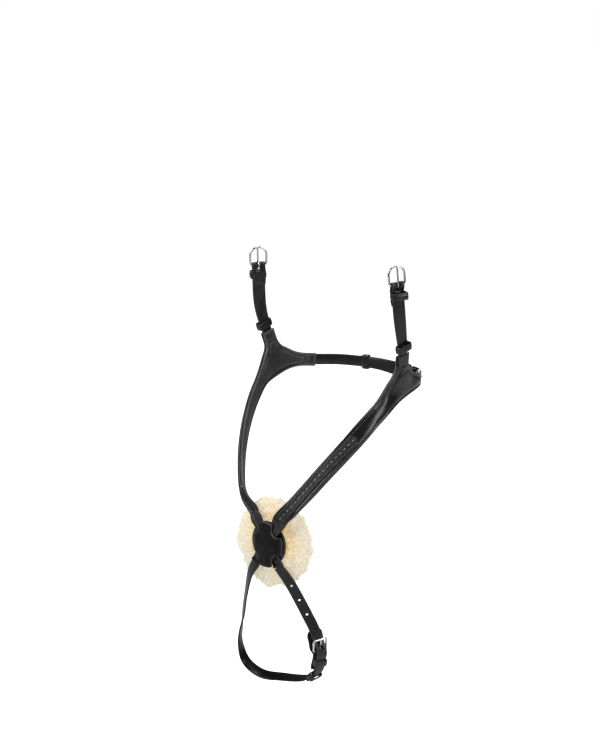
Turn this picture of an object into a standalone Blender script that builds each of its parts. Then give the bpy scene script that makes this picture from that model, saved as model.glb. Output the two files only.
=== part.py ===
"""A figure eight noseband of black leather with steel buckles and a round sheepskin pad.

+Z is up, the horse's nose points along -Y and its near (left) side is +X. The origin lies midway
between the pivot bars of the two head buckles, from which the noseband hangs. A length along a strap
runs from a plate or from the crossing, and a lift is measured outwards from the strap's middle plane.
"""
import math

import bmesh
import bpy
from mathutils import Matrix, Vector

MM = 0.001

# Where the noseband goes round the head
HEAD_SPREAD = 200 * MM
PLATE_SPREAD = 186 * MM
PLATE_SETBACK = 27 * MM
PLATE_DROP = 125 * MM
CROSSING_REACH = 116 * MM
CROSSING_DROP = 302 * MM
JAW_SETBACK = 115 * MM
JAW_DROP = 133 * MM
CHIN_SPREAD = 118 * MM
CHIN_REACH = 92 * MM
CHIN_DROP = 489 * MM

# Leather
CLEARANCE = 0.3 * MM
STRAP_THICKNESS = 2.0 * MM
LEATHER_THICKNESS = 2.0 * MM
LINING_THICKNESS = 1.6 * MM
BAND_THICKNESS = 1.8 * MM
PADDING_THICKNESS = 1.4 * MM
LAYER_GAP = 0.5 * MM
LAYER_STEP = LEATHER_THICKNESS + CLEARANCE
LEATHER_LIFT = STRAP_THICKNESS / 2 + CLEARANCE
LINING_LIFT = -LEATHER_LIFT - LINING_THICKNESS
BAND_LIFT = LEATHER_LIFT + LEATHER_THICKNESS + LAYER_GAP
STEP = 6 * MM
LOW_STEP = 3 * MM
WELD = 0.01 * MM
EDGE_BREAK = 0.4 * MM
CORNER_INSET = 1.4
HEAD_STRAP_WIDTH = 16 * MM
JAW_STRAP_WIDTH = 14 * MM
CHIN_STRAP_WIDTH = 13 * MM
NOSE_STRAP_WIDTH = 20 * MM
NOSE_BAND_WIDTH = 12 * MM
CROSSING_STRAP_WIDTH = 14 * MM
NOSE_NARROWS = (12 * MM, 6 * MM)
UP_ARM_EXTRA = 2 * MM
REAR_ARM_EXTRA = 1 * MM
LINING_MARGIN = 1 * MM
PADDING_INSET = 3 * MM
TUCK = 12 * MM
FOLD_RETURN = 25 * MM

# Cheek plates: the three inner corners, rearwards and upwards from the plate's middle, and how far each
# arm runs
CORNER_REAR = (12 * MM, 16 * MM)
CORNER_LOW = (-12 * MM, -20 * MM)
CORNER_FRONT = (-28 * MM, 8 * MM)
UP_ARM = 42 * MM
REAR_ARM = 64 * MM
NOSE_FLARE = 54 * MM
FLARE_STEPS = 8
CORNER_PULL = 0.36
ARM_PULL = 0.36

# Buckles
WIRE = 2.6 * MM
TONGUE_WIRE = 2.2 * MM
FRAME_PLAY = 0.8 * MM
HEAD_FRAME_LENGTH = 22 * MM
LOW_FRAME_LENGTH = 15 * MM
LOW_FRAME_RISE = 3.2 * MM
SLOT_PLAY = 0.6 * MM
SLOT_LENGTH = 15 * MM
SLOT_DEPTH = 14 * MM
HOLE_PITCH = 20 * MM
HOLE_DIAMETER = 3.4 * MM
SPARE_HOLE = 2.8 * MM
TONGUE_HOLE = 8 * MM
TONGUE_HOLE_LENGTH = 9 * MM
PUNCH_DEPTH = 16 * MM

# Tongues: how far they reach past the frame's far bar, and where their shafts bend, as (up, out) steps
TONGUE_PAST = 1.5 * MM
HEAD_TONGUE_BEND = 4 * MM
LOW_TONGUE_BENDS = ((2.5 * MM, 2.3 * MM), (5 * MM, 1.7 * MM))
LOW_TONGUE_TIP = 1 * MM

# Folded straps: the length before the pivot bar, and the share of the rise onto it or of the fall behind it
FOLD_RISE = (
    (FOLD_RETURN, 0),
    (20 * MM, 0),
    (15.5 * MM, 0),
    (11.5 * MM, 0),
    (7.5 * MM, 0.1),
    (4 * MM, 0.75),
    (1.5 * MM, 1),
)
FOLD_START = 2 * MM
FOLD_FALL = ((6 * MM, 0.9), (10 * MM, 1), (15 * MM, 1), (20 * MM, 1))

# Billets: past the pivot bar, where each lies on its strap, tops the fold and comes down, and its rows there
BILLET_ON_STRAP = -11 * MM
BILLET_TOP = 3 * MM
BILLET_FALL = (
    (8 * MM, 1.5 * MM),
    (12 * MM, -0.3 * MM),
    (16 * MM, -0.8 * MM),
    (30 * MM, -STRAP_THICKNESS / 2),
)
BILLET_ROWS = tuple(
    step * MM for step in (-20, -15.5, -11.5, -9, -6, -3, 0, 3, 5, 8, 10.5, 13, 16, 20, 25, 30)
)
BILLET_ROUND = 8 * MM
BILLET_PAST_RUNNER = 14 * MM

# Keepers and runners
KEEPER_THICKNESS = 1.2 * MM
KEEPER_LENGTH = 8 * MM
KEEPER_EDGE = 0.25 * MM
KEEPER_CORNER = 0.6 * MM
KEEPER_BACK = 15.5 * MM
HEAD_KEEPER_BACK = 13 * MM
BILLET_SPACE = 7.2 * MM
RUNNER_LENGTH = 9 * MM
RUNNER_PLAY = 0.9 * MM
CHIN_RUNNER_ROOM = 1.6 * MM
HEAD_RUNNER = 51 * MM
HEAD_RUNNER_SPACE = 4.2 * MM

# Crossing and pad, and where the layers of the nose straps end ahead of its cover
UPPER_MOUTH = 26 * MM
LINING_SHORT = 12 * MM
BAND_SHARE = 0.33
BAND_SHORT = 52 * MM
BASE_SIZE = (49 * MM, 54 * MM)
COVER_SIZE = (42 * MM, 56 * MM)
COVER_THICKNESS = 2.0 * MM
COVER_NOTCH = 9.5 * MM
COVER_SLOPE = (6 * MM, 1.5 * MM)
NOTCH_SHARES = (0.88, 0.36)
NOTCH_DEPTH = 40 * MM
BACKING_DIAMETER = 46 * MM
BACKING_THICKNESS = 1.5 * MM
PAD_DIAMETER = 109 * MM
PAD_THICKNESS = 24 * MM
PAD_SHIFT = (-3 * MM, 0, -4 * MM)
PAD_PROFILE = (
    (0, -1), (0.45, -1), (0.62, -0.78), (0.8, -0.52), (0.94, -0.2), (1, 0.15), (0.96, 0.55), (0.82, 0.86),
    (0.5, 1), (0, 1),
)

# Guards behind the jaw and chin buckles
GUARD_THICKNESS = 3.2 * MM
GUARD_MARGIN = 3.5 * MM
GUARD_OVERHANG = 12 * MM
GUARD_ROUND = 9 * MM
GUARD_TIP_ROWS = tuple(step * MM for step in (6, 3.5, 1.5, 0.5, 0))
GUARD_EDGE = 0.8 * MM
GUARD_SINKS = (36 * MM, 22 * MM)
GUARD_START_TRIM = 1 * MM

# Each head strap from its plate up: share of the way, bow outwards and backwards, and which way it faces
HEAD_SHARES = (0.2, 0.36, 0.54, 0.72)
HEAD_BULGE = ((2 * MM, -2.6 * MM), (4.5 * MM, -3.3 * MM), (5 * MM, -5.4 * MM), (3.5 * MM, -4.6 * MM))
HEAD_TURNS = {1: (86, 84, 81, 70, 60, 60), -1: (-92, -94, -98, -115, -128, -128)}

# Each nose strap: handles of its curve at the plate and at the crossing, its facings, and its mouth
NOSE_LEAVE = (7 * MM, -67 * MM, -28 * MM)
NOSE_ARRIVE = {1: (32 * MM, -30 * MM, 44 * MM), -1: (37 * MM, -36 * MM, 44 * MM)}
NOSE_SHARES = (0.14, 0.28, 0.42, 0.56, 0.7)
NOSE_FACINGS = {
    1: ((72, 4), (44, 16), (16, 28), (2, 34), (0, 28)),
    -1: ((-84, 0), (-76, 0), (-67, 0), (-60, 0), (-52, 0)),
}
MOUTH_ACROSS = 15 * MM
MOUTH_DROP = 25 * MM
MOUTH_AHEAD = 1.4
MOUTH_AHEAD_BACK = 0.8 * MM
MOUTH_AHEAD_FACINGS = {1: (0, 10), -1: (-28, 0)}

# Jaw strap from each plate to its middle behind: share across, share backwards, and which way it faces
JAW_MARKS = ((1.02, 0.15, 97), (0.97, 0.39, 112), (0.8, 0.7, 133), (0.5, 0.91, 154))
JAW_FALL = 1.4
JAW_BUCKLE_GAP = 6 * MM
JAW_MIDDLE_MARK = 5
JAW_RUNNER_BACK = 18 * MM
JAW_RUNNER_PLAY = 1 * MM

# Chin loop from each mouth to the bottom: share of its half width, of its drop and of its setback
CHIN_MARKS = {
    1: ((0.48, 0.12, 0.2), (0.73, 0.33, 0.6), (0.92, 0.5, 0.87), (0.99, 0.64, 1.0), (0.98, 0.745, 1.0),
        (0.87, 0.838, 1.0), (0.58, 0.905, 1.04)),
    -1: ((0.49, 0.12, 0.2), (0.74, 0.33, 0.6), (0.9, 0.504, 0.87), (1.01, 0.641, 1.0), (1.04, 0.77, 1.0),
         (0.89, 0.908, 1.0), (0.494, 0.975, 1.04)),
}
CHIN_FACINGS = {
    1: ((0.5, -0.87, 0), (0.7, -0.7, 0), (0.84, -0.54, 0), (0.91, -0.41, 0), (0.9, -0.35, -0.2),
        (0.75, -0.1, -0.65), (0.38, 0.25, -0.89)),
    -1: ((-0.51, -0.87, 0), (-0.69, -0.71, 0), (-0.72, -0.69, -0.05), (-0.92, -0.38, 0.08), (-0.94, -0.24, -0.19),
         (-0.79, 0.2, -0.45), (-0.4, 0.37, -0.68)),
}
CHIN_START = (0.6 * MM, 1 * MM)
CHIN_START_TURN = 10
CHIN_BOTTOM = 0.957
CHIN_BOTTOM_BACK = 3 * MM
CHIN_UNDER = (0, 0.41, -0.89)
CHIN_BUCKLE_MARK = 4
CHIN_RUNNER_MARK = 6
CHIN_RUNNER_SHIFT = 2 * MM
CHIN_RUNNER_PLAY = 2.5 * MM
CHIN_GUARD_WIDENS = (-8 * MM, 2 * MM)

UP = Vector((0, 0, 1))


def material(name, colour, roughness, metallic=0.0):
    made = bpy.data.materials.new(name)
    made.use_nodes = True
    shader = made.node_tree.nodes["Principled BSDF"]
    shader.inputs["Base Color"].default_value = (*colour, 1)
    shader.inputs["Roughness"].default_value = roughness
    shader.inputs["Metallic"].default_value = metallic
    return made


def outward(azimuth, rise=0):
    """The direction this many degrees from the front, towards the near side, and this many up."""
    turn = math.radians(azimuth)
    level = Vector((math.sin(turn), -math.cos(turn), 0))
    return level * math.cos(math.radians(rise)) + UP * math.sin(math.radians(rise))


def blend(low, high, share):
    return low + (high - low) * share


def ease(share):
    share = min(max(share, 0), 1)
    return share * share * (3 - 2 * share)


class Route:
    """A smooth line through chosen marks, each a point and the direction that the strap faces there."""

    STEPS = 8

    def __init__(self, marks):
        points = [Vector(mark[0]) for mark in marks]
        facings = [Vector(mark[1]).normalized() for mark in marks]
        self.points = []
        self.facings = []
        for number in range(len(marks) - 1):
            for step in range(self.STEPS + (number == len(marks) - 2)):
                share = step / self.STEPS
                self.points.append(self.through(points, number, share))
                self.facings.append(self.through(facings, number, share).normalized())
        self.lengths = [0.0]
        for number in range(1, len(self.points)):
            self.lengths.append(self.lengths[-1] + (self.points[number] - self.points[number - 1]).length)
        self.length = self.lengths[-1]
        self.marks = self.lengths[:: self.STEPS]

    @staticmethod
    def through(values, number, share):
        """A Catmull-Rom curve, with the end spans carried on past the ends."""
        here = values[number]
        there = values[number + 1]
        before = values[number - 1] if number > 0 else here * 2 - there
        after = values[number + 2] if number + 2 < len(values) else there * 2 - here
        square = share * share
        cube = square * share
        return 0.5 * (
            here * 2
            + (there - before) * share
            + (before * 2 - here * 5 + there * 4 - after) * square
            + (here * 3 - before - there * 3 + after) * cube
        )

    def frame(self, along):
        """Point, direction of travel, facing and side of the route at a length along it."""
        last = len(self.points) - 2
        number = 0
        while number < last and self.lengths[number + 1] < along:
            number += 1
        span = self.lengths[number + 1] - self.lengths[number]
        share = (along - self.lengths[number]) / span
        point = blend(self.points[number], self.points[number + 1], share)
        held = min(max(share, 0), 1)
        before = self.points[number] - self.points[max(number - 1, 0)]
        here = self.points[number + 1] - self.points[number]
        after = self.points[min(number + 2, last + 1)] - self.points[number + 1]
        start = (before.normalized() if before.length > 0 else here.normalized()) + here.normalized()
        end = (after.normalized() if after.length > 0 else here.normalized()) + here.normalized()
        travel = blend(start.normalized(), end.normalized(), held).normalized()
        facing = blend(self.facings[number], self.facings[number + 1], held)
        facing = (facing - travel * facing.dot(travel)).normalized()
        return point, travel, facing, facing.cross(travel)


def stations(start, end, step):
    """Lengths from start to end, at whole steps between, so that layers on one route bend alike."""
    first = math.floor(start / step) + 1
    inner = [step * number for number in range(first, math.ceil(end / step))]
    margin = step * 0.3
    return [start] + [along for along in inner if start + margin < along < end - margin] + [end]


def on_grid(along, step):
    """The whole step nearest to a length, where every layer has a row."""
    return step * round(along / step)


def finish(name, mesh_data, look, smooth=False):
    mesh = bpy.data.meshes.new(name)
    mesh_data.to_mesh(mesh)
    mesh_data.free()
    mesh.materials.append(look)
    if smooth:
        mesh.shade_smooth()
    made = bpy.data.objects.new(name, mesh)
    bpy.context.scene.collection.objects.link(made)
    return made


def break_edges(made, size):
    """Takes the sharp corners off a piece."""
    rounded = made.modifiers.new("Edges", "BEVEL")
    rounded.width = size
    rounded.segments = 1
    rounded.limit_method = "ANGLE"
    rounded.angle_limit = math.radians(50)
    return made


def thicken(made, thickness):
    """Gives a sheet its thickness on the side that its faces point to."""
    solid = made.modifiers.new("Thickness", "SOLIDIFY")
    solid.thickness = thickness
    solid.offset = 1
    return made


# The four corners of a strap's section, in shares of its width and thickness, and the first again
SECTION = ((-0.5, 0), (0.5, 0), (0.5, 1), (-0.5, 1), (-0.5, 0))


def ribbon(name, rows, thickness, look, edge=0):
    """A strap: rows of (point on its inner face, side, width, direction of its thickness)."""
    band = bmesh.new()
    bmesh.ops.create_grid(band, x_segments=len(rows) - 1, y_segments=len(SECTION) - 1, size=0.5)
    for vertex in band.verts:
        point, side, width, out = rows[round((vertex.co.x + 0.5) * (len(rows) - 1))]
        across, share = SECTION[round((vertex.co.y + 0.5) * (len(SECTION) - 1))]
        vertex.co = point + side * (across * width) + out * (share * thickness)
    bmesh.ops.remove_doubles(band, verts=band.verts, dist=WELD)
    bmesh.ops.holes_fill(band, edges=band.edges, sides=4)
    bmesh.ops.recalc_face_normals(band, faces=band.faces)
    made = finish(name, band, look)
    return break_edges(made, edge) if edge else made


def layer_rows(route, lengths, lift, width, turned=1):
    """Rows of a strap that lies at a lift over its route. Lift and width may change along it."""
    rows = []
    for along in lengths:
        point, _, facing, side = route.frame(along)
        here_lift = lift(along) if callable(lift) else lift
        here_width = width(along) if callable(width) else width
        rows.append((point + facing * here_lift, side, here_width, facing * turned))
    return rows


def round_end(width, tip, reach):
    """A width that closes to a rounded end at the length tip, over reach."""

    def at(along):
        left = min(abs(tip - along) / reach, 1)
        return width * max(math.sqrt(1 - (1 - left) ** 2), 0.25)

    return at


def cut(made, cutter):
    """Cuts one object with another, which is left out of the finished part."""
    cutter.hide_render = True
    cutter.display_type = "WIRE"
    cutting = made.modifiers.new("Cut", "BOOLEAN")
    cutting.operation = "DIFFERENCE"
    cutting.object = cutter
    cutting.solver = "EXACT"


def placed(point, across, along, out):
    """A matrix whose X, Y and Z are these three directions, at a point."""
    turned = Matrix((across, along, out)).transposed().to_4x4()
    turned.translation = point
    return turned


def hole_cutter(name, point, across, along, out, width, length):
    """An oval punch that stands square to the strap."""
    punch = bmesh.new()
    radius = width / 2
    bmesh.ops.create_cone(punch, cap_ends=True, segments=10, radius1=radius, radius2=radius, depth=PUNCH_DEPTH)
    for vertex in punch.verts:
        vertex.co.y += math.copysign((length - width) / 2, vertex.co.y)
    bmesh.ops.transform(punch, matrix=placed(point, across, along, out), verts=punch.verts)
    bmesh.ops.recalc_face_normals(punch, faces=punch.faces)
    return finish(name, punch, steel)


def box_cutter(name, point, across, along, out, size):
    block = bmesh.new()
    bmesh.ops.create_cube(block, size=1)
    bmesh.ops.scale(block, vec=size, verts=block.verts)
    bmesh.ops.transform(block, matrix=placed(point, across, along, out), verts=block.verts)
    bmesh.ops.recalc_face_normals(block, faces=block.faces)
    return finish(name, block, leather)


def fold_lift():
    """How far the strap's inner face stands off the middle of the buckle's pivot bar."""
    return WIRE / 2 + CLEARANCE


def folded_strap(name, route, step, start, bar, width, look):
    """A strap from start to a fold round the pivot bar, which lies across the route at the length bar.

    Its outer layer runs up to the bar, and its end returns behind and is sewn down past the keeper.
    """
    flat = -STRAP_THICKNESS / 2
    rows = layer_rows(route, stations(on_grid(start, step), bar - FOLD_RETURN, step)[:-1], flat, width)
    for back, share in FOLD_RISE:
        rows += layer_rows(route, [bar - back], blend(flat, fold_lift(), share), width)
    point, travel, facing, side = route.frame(bar)
    for step in range(7):
        turn = math.radians(30 * step)
        spoke = facing * math.cos(turn) + travel * math.sin(turn)
        rows.append((point + spoke * fold_lift(), side, width, spoke))
    low = -STRAP_THICKNESS / 2 - KEEPER_THICKNESS - 3 * CLEARANCE
    near = -STRAP_THICKNESS / 2 - CLEARANCE
    ways = [(back, low * share) for back, share in FOLD_FALL]
    for back, lift in ((FOLD_START, -fold_lift()), *ways, (FOLD_RETURN, near)):
        rows += layer_rows(route, [bar - back], lift, width, turned=-1)
    strap = ribbon(name, rows, STRAP_THICKNESS, look)
    slot = (TONGUE_WIRE + 2 * SLOT_PLAY, SLOT_LENGTH, SLOT_DEPTH)
    cut(strap, box_cutter(name + "_slot", point, side, travel, facing, slot))
    return strap


def wire_frame(name, point, travel, facing, side, width, length, round_top, look):
    """A buckle frame bent from one wire, its pivot bar at the point and its far bar length away."""
    half = width / 2
    corner = WIRE * 1.1
    arch = half if round_top else corner
    outline = []
    for centre, radius, first in (
        ((half - corner, corner), corner, -90),
        ((half - arch, length - arch), arch, 0),
        ((-half + arch, length - arch), arch, 90),
        ((-half + corner, corner), corner, 180),
    ):
        steps = 5 if radius == half else 3
        for step in range(steps + 1):
            turn = math.radians(first + 90 * step / steps)
            spot = (centre[0] + radius * math.cos(turn), centre[1] + radius * math.sin(turn))
            if not outline or math.dist(spot, outline[-1]) > CLEARANCE:
                outline.append(spot)
    wire = bpy.data.curves.new(name, "CURVE")
    wire.dimensions = "3D"
    wire.bevel_depth = WIRE / 2
    wire.bevel_resolution = 2
    loop = wire.splines.new("POLY")
    loop.points.add(len(outline) - 1)
    for spot, knot in zip(outline, loop.points):
        knot.co = (*(side * spot[0] + travel * spot[1]), 1)
    loop.use_cyclic_u = True
    wire.materials.append(look)
    made = bpy.data.objects.new(name, wire)
    made.location = point
    bpy.context.scene.collection.objects.link(made)
    return made


def tongue(name, point, travel, facing, side, path, look):
    """A tongue: a ring round the pivot bar, joined to a shaft along (up, out) steps of path."""
    ring_radius = WIRE / 2 + CLEARANCE + TONGUE_WIRE / 2
    shaft = bpy.data.curves.new(name, "CURVE")
    shaft.dimensions = "3D"
    shaft.bevel_depth = TONGUE_WIRE / 2
    shaft.bevel_resolution = 2
    shaft.use_fill_caps = True
    knots = []
    for step in range(9):
        turn = math.radians(264 - 33 * step)
        knots.append(facing * (ring_radius * math.cos(turn)) - travel * (ring_radius * math.sin(turn)))
    knots += [travel * up + facing * out for up, out in path]
    line = shaft.splines.new("POLY")
    line.points.add(len(knots) - 1)
    for spot, knot in zip(knots, line.points):
        knot.co = (*spot, 1)
    shaft.materials.append(look)
    made = bpy.data.objects.new(name, shaft)
    made.location = point
    bpy.context.scene.collection.objects.link(made)
    return made


def loop_band(name, point, travel, facing, side, width, low, high, length, look):
    """A keeper or runner: a flat band closed round a strap, from lift low to lift high inside."""
    corner = KEEPER_CORNER
    outline = []
    for across, out, first in (
        (width / 2 - corner, high - corner, 0),
        (-width / 2 + corner, high - corner, 90),
        (-width / 2 + corner, low + corner, 180),
        (width / 2 - corner, low + corner, 270),
    ):
        for step in range(3):
            turn = math.radians(first + 45 * step)
            outline.append((across + corner * math.cos(turn), out + corner * math.sin(turn)))
    outline.append(outline[0])
    band = bmesh.new()
    bmesh.ops.create_grid(band, x_segments=len(outline) - 1, y_segments=1, size=0.5)
    for vertex in band.verts:
        across, out = outline[round((vertex.co.x + 0.5) * (len(outline) - 1))]
        vertex.co = side * across + facing * out + travel * (vertex.co.y * length)
    bmesh.ops.remove_doubles(band, verts=band.verts, dist=WELD)
    made = break_edges(thicken(finish(name, band, look), KEEPER_THICKNESS), KEEPER_EDGE)
    made.location = point
    return made


def plate_frame(side_sign):
    """The plate's middle, and its rearward, upward and outward directions."""
    middle = Vector((side_sign * PLATE_SPREAD / 2, PLATE_SETBACK, -PLATE_DROP))
    return middle, Vector((0, 1, 0)), UP.copy(), Vector((side_sign, 0, 0))


def plate_corner(side_sign, corner):
    middle, rearward, upward, _ = plate_frame(side_sign)
    return middle + rearward * corner[0] + upward * corner[1]


def head_route(side_sign):
    """From the plate's middle up to the pivot bar of the head buckle."""
    middle, _, _, out = plate_frame(side_sign)
    bar = Vector((side_sign * HEAD_SPREAD / 2, 0, 0))
    turns = HEAD_TURNS[side_sign]
    marks = [(middle, outward(turns[0]))]
    for share, bulge, turn in zip(HEAD_SHARES, HEAD_BULGE, turns[1:]):
        spot = blend(middle, bar, share) + out * bulge[0] + Vector((0, bulge[1], 0))
        marks.append((spot, outward(turn)))
    marks.append((bar, outward(turns[-1])))
    return Route(marks)


def nose_route(side_sign, depth):
    """From the plate's middle forward and down to the crossing, and on to the far lower mouth."""
    middle, _, _, out = plate_frame(side_sign)
    crossing = Vector((0, -CROSSING_REACH + depth, -CROSSING_DROP))
    outwards, rearwards, upwards = NOSE_LEAVE
    leave = middle + Vector((side_sign * outwards, rearwards, upwards))
    outwards, rearwards, upwards = NOSE_ARRIVE[side_sign]
    arrive = crossing + Vector((side_sign * outwards, rearwards, upwards))
    marks = [(middle, out)]
    for share, facing in zip(NOSE_SHARES, NOSE_FACINGS[side_sign]):
        rest = 1 - share
        spot = (
            middle * rest**3
            + leave * (3 * rest * rest * share)
            + arrive * (3 * rest * share * share)
            + crossing * share**3
        )
        marks.append((spot, outward(*facing)))
    mouth = Vector((side_sign * MOUTH_ACROSS, 0, MOUTH_DROP))
    ahead = crossing + mouth * MOUTH_AHEAD + Vector((0, MOUTH_AHEAD_BACK, 0))
    marks.append((ahead, outward(*MOUTH_AHEAD_FACINGS[side_sign])))
    marks.append((crossing + mouth, outward(0)))
    marks.append((crossing, outward(0)))
    marks.append((crossing - mouth, outward(0)))
    return Route(marks)


def jaw_route(side_sign):
    """From the plate's middle round behind the jaw to the other plate."""
    marks = []
    for sign in (side_sign, -side_sign):
        middle, _, _, out = plate_frame(sign)
        half = [(middle, out)]
        for across, back, turn in JAW_MARKS:
            spot = Vector((middle.x * across, blend(PLATE_SETBACK, JAW_SETBACK, back), 0))
            spot.z = -blend(PLATE_DROP, JAW_DROP, min(back * JAW_FALL, 1))
            half.append((spot, outward(turn * sign)))
        marks.append(half)
    behind = (Vector((0, JAW_SETBACK, -JAW_DROP)), outward(180))
    return Route(marks[0] + [behind] + marks[1][::-1])


for old in list(bpy.data.objects):
    bpy.data.objects.remove(old)

leather = material("black_bridle_leather", (0.018, 0.018, 0.02), 0.42)
soft_leather = material("soft_lining_leather", (0.03, 0.03, 0.032), 0.55)
foam = material("padding_foam", (0.25, 0.25, 0.26), 0.9)
steel = material("polished_steel", (0.75, 0.75, 0.76), 0.2, 1.0)
wool = material("sheepskin_wool", (0.85, 0.78, 0.62), 0.95)
hide = material("sheepskin_hide", (0.7, 0.63, 0.5), 0.9)


def ramp(along, start, end):
    return ease((along - start) / (end - start))


def edge_ends(side_sign, arm):
    """For each of the two corners that an arm starts from, where the arm's edge reaches its own width."""
    route, corners, reach, width, _ = arm
    middle = plate_frame(side_sign)[0]
    across = route.frame(0)[3]
    point, _, _, side = route.frame(reach)
    ends = {}
    for corner in corners:
        away = (plate_corner(side_sign, corner) - middle).dot(across)
        ends[corner] = point + side * math.copysign(width(reach) / 2, away)
    return ends


def edge_curve(start, leave, end, arrive, share):
    """A point on the hollow curve from a corner of the plate out to the arm's own width."""
    rest = 1 - share
    reach = (end - start).length
    first = start + leave * (reach * CORNER_PULL)
    second = end - arrive * (reach * ARM_PULL)
    return (
        start * rest**3
        + first * (3 * rest * rest * share)
        + second * (3 * rest * share * share)
        + end * share**3
    )


def arm_rows(side_sign, arm, others, lift, inset):
    """Pairs of edge points along one arm, which starts at two corners of its plate."""
    route, _, reach, width, end = arm
    middle, _, _, out = plate_frame(side_sign)
    across = route.frame(0)[3]
    _, travel, far_facing, _ = route.frame(reach)
    edges = []
    for corner, edge_end in edge_ends(side_sign, arm).items():
        other_end = next(ends[corner] for ends in others if corner in ends)
        edges.append((plate_corner(side_sign, corner), (edge_end - other_end).normalized(), edge_end))
    edges.sort(key=lambda edge: (edge[0] - middle).dot(across))
    drawn_in = inset * CORNER_INSET
    rows = [[spot + (middle - spot).normalized() * drawn_in + out * lift for spot, _, _ in edges]]
    for step in range(1, FLARE_STEPS):
        share = step / FLARE_STEPS
        low, high = (edge_curve(spot, leave, edge_end, travel, share) for spot, leave, edge_end in edges)
        raised = blend(out, far_facing, share).normalized() * lift
        inwards = (high - low).normalized() * inset
        rows.append([low + inwards + raised, high - inwards + raised])
    for along in stations(reach, end, STEP) if end > reach else [reach]:
        point, _, facing, side = route.frame(along)
        spread = side * (width(along) / 2 - inset)
        rows.append([point + facing * lift - spread, point + facing * lift + spread])
    return rows


def cheek_face(sheet, side_sign, arms, lift, inset):
    """Adds one face of a cheek layer: the plate's triangle and a row of faces along each arm."""
    middle, _, _, out = plate_frame(side_sign)
    made = bmesh.ops.create_circle(sheet, cap_ends=True, radius=1, segments=3)
    for vertex, corner in zip(made["verts"], (CORNER_REAR, CORNER_LOW, CORNER_FRONT)):
        spot = plate_corner(side_sign, corner)
        vertex.co = spot + (middle - spot).normalized() * (inset * CORNER_INSET) + out * lift
    for arm in arms:
        others = [edge_ends(side_sign, other) for other in arms if other is not arm]
        rows = arm_rows(side_sign, arm, others, lift, inset)
        made = bmesh.ops.create_grid(sheet, x_segments=len(rows) - 1, y_segments=1, size=0.5)
        for vertex in made["verts"]:
            low, high = rows[round((vertex.co.x + 0.5) * (len(rows) - 1))]
            vertex.co = blend(low, high, vertex.co.y + 0.5)


def cheek_layer(name, side_sign, arms, lift, thickness, inset, look, edge):
    """One layer of a cheek: a plate with its three arms, all in one piece."""
    sheet = bmesh.new()
    cheek_face(sheet, side_sign, arms, lift, inset)
    cheek_face(sheet, side_sign, arms, lift + thickness, inset)
    bmesh.ops.remove_doubles(sheet, verts=sheet.verts, dist=WELD)
    bmesh.ops.bridge_loops(sheet, edges=[line for line in sheet.edges if line.is_boundary])
    bmesh.ops.recalc_face_normals(sheet, faces=sheet.faces)
    made = finish(name, sheet, look)
    return break_edges(made, edge) if edge else made


def steady(width):
    return lambda along: width


def nose_width(route, wide):
    """Full width down to the crossing's cover, then narrower inside it."""
    mouth = route.marks[-2] - UPPER_MOUTH
    before, after = NOSE_NARROWS
    return lambda along: blend(wide, CROSSING_STRAP_WIDTH, ramp(along, mouth - before, mouth + after))


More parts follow.
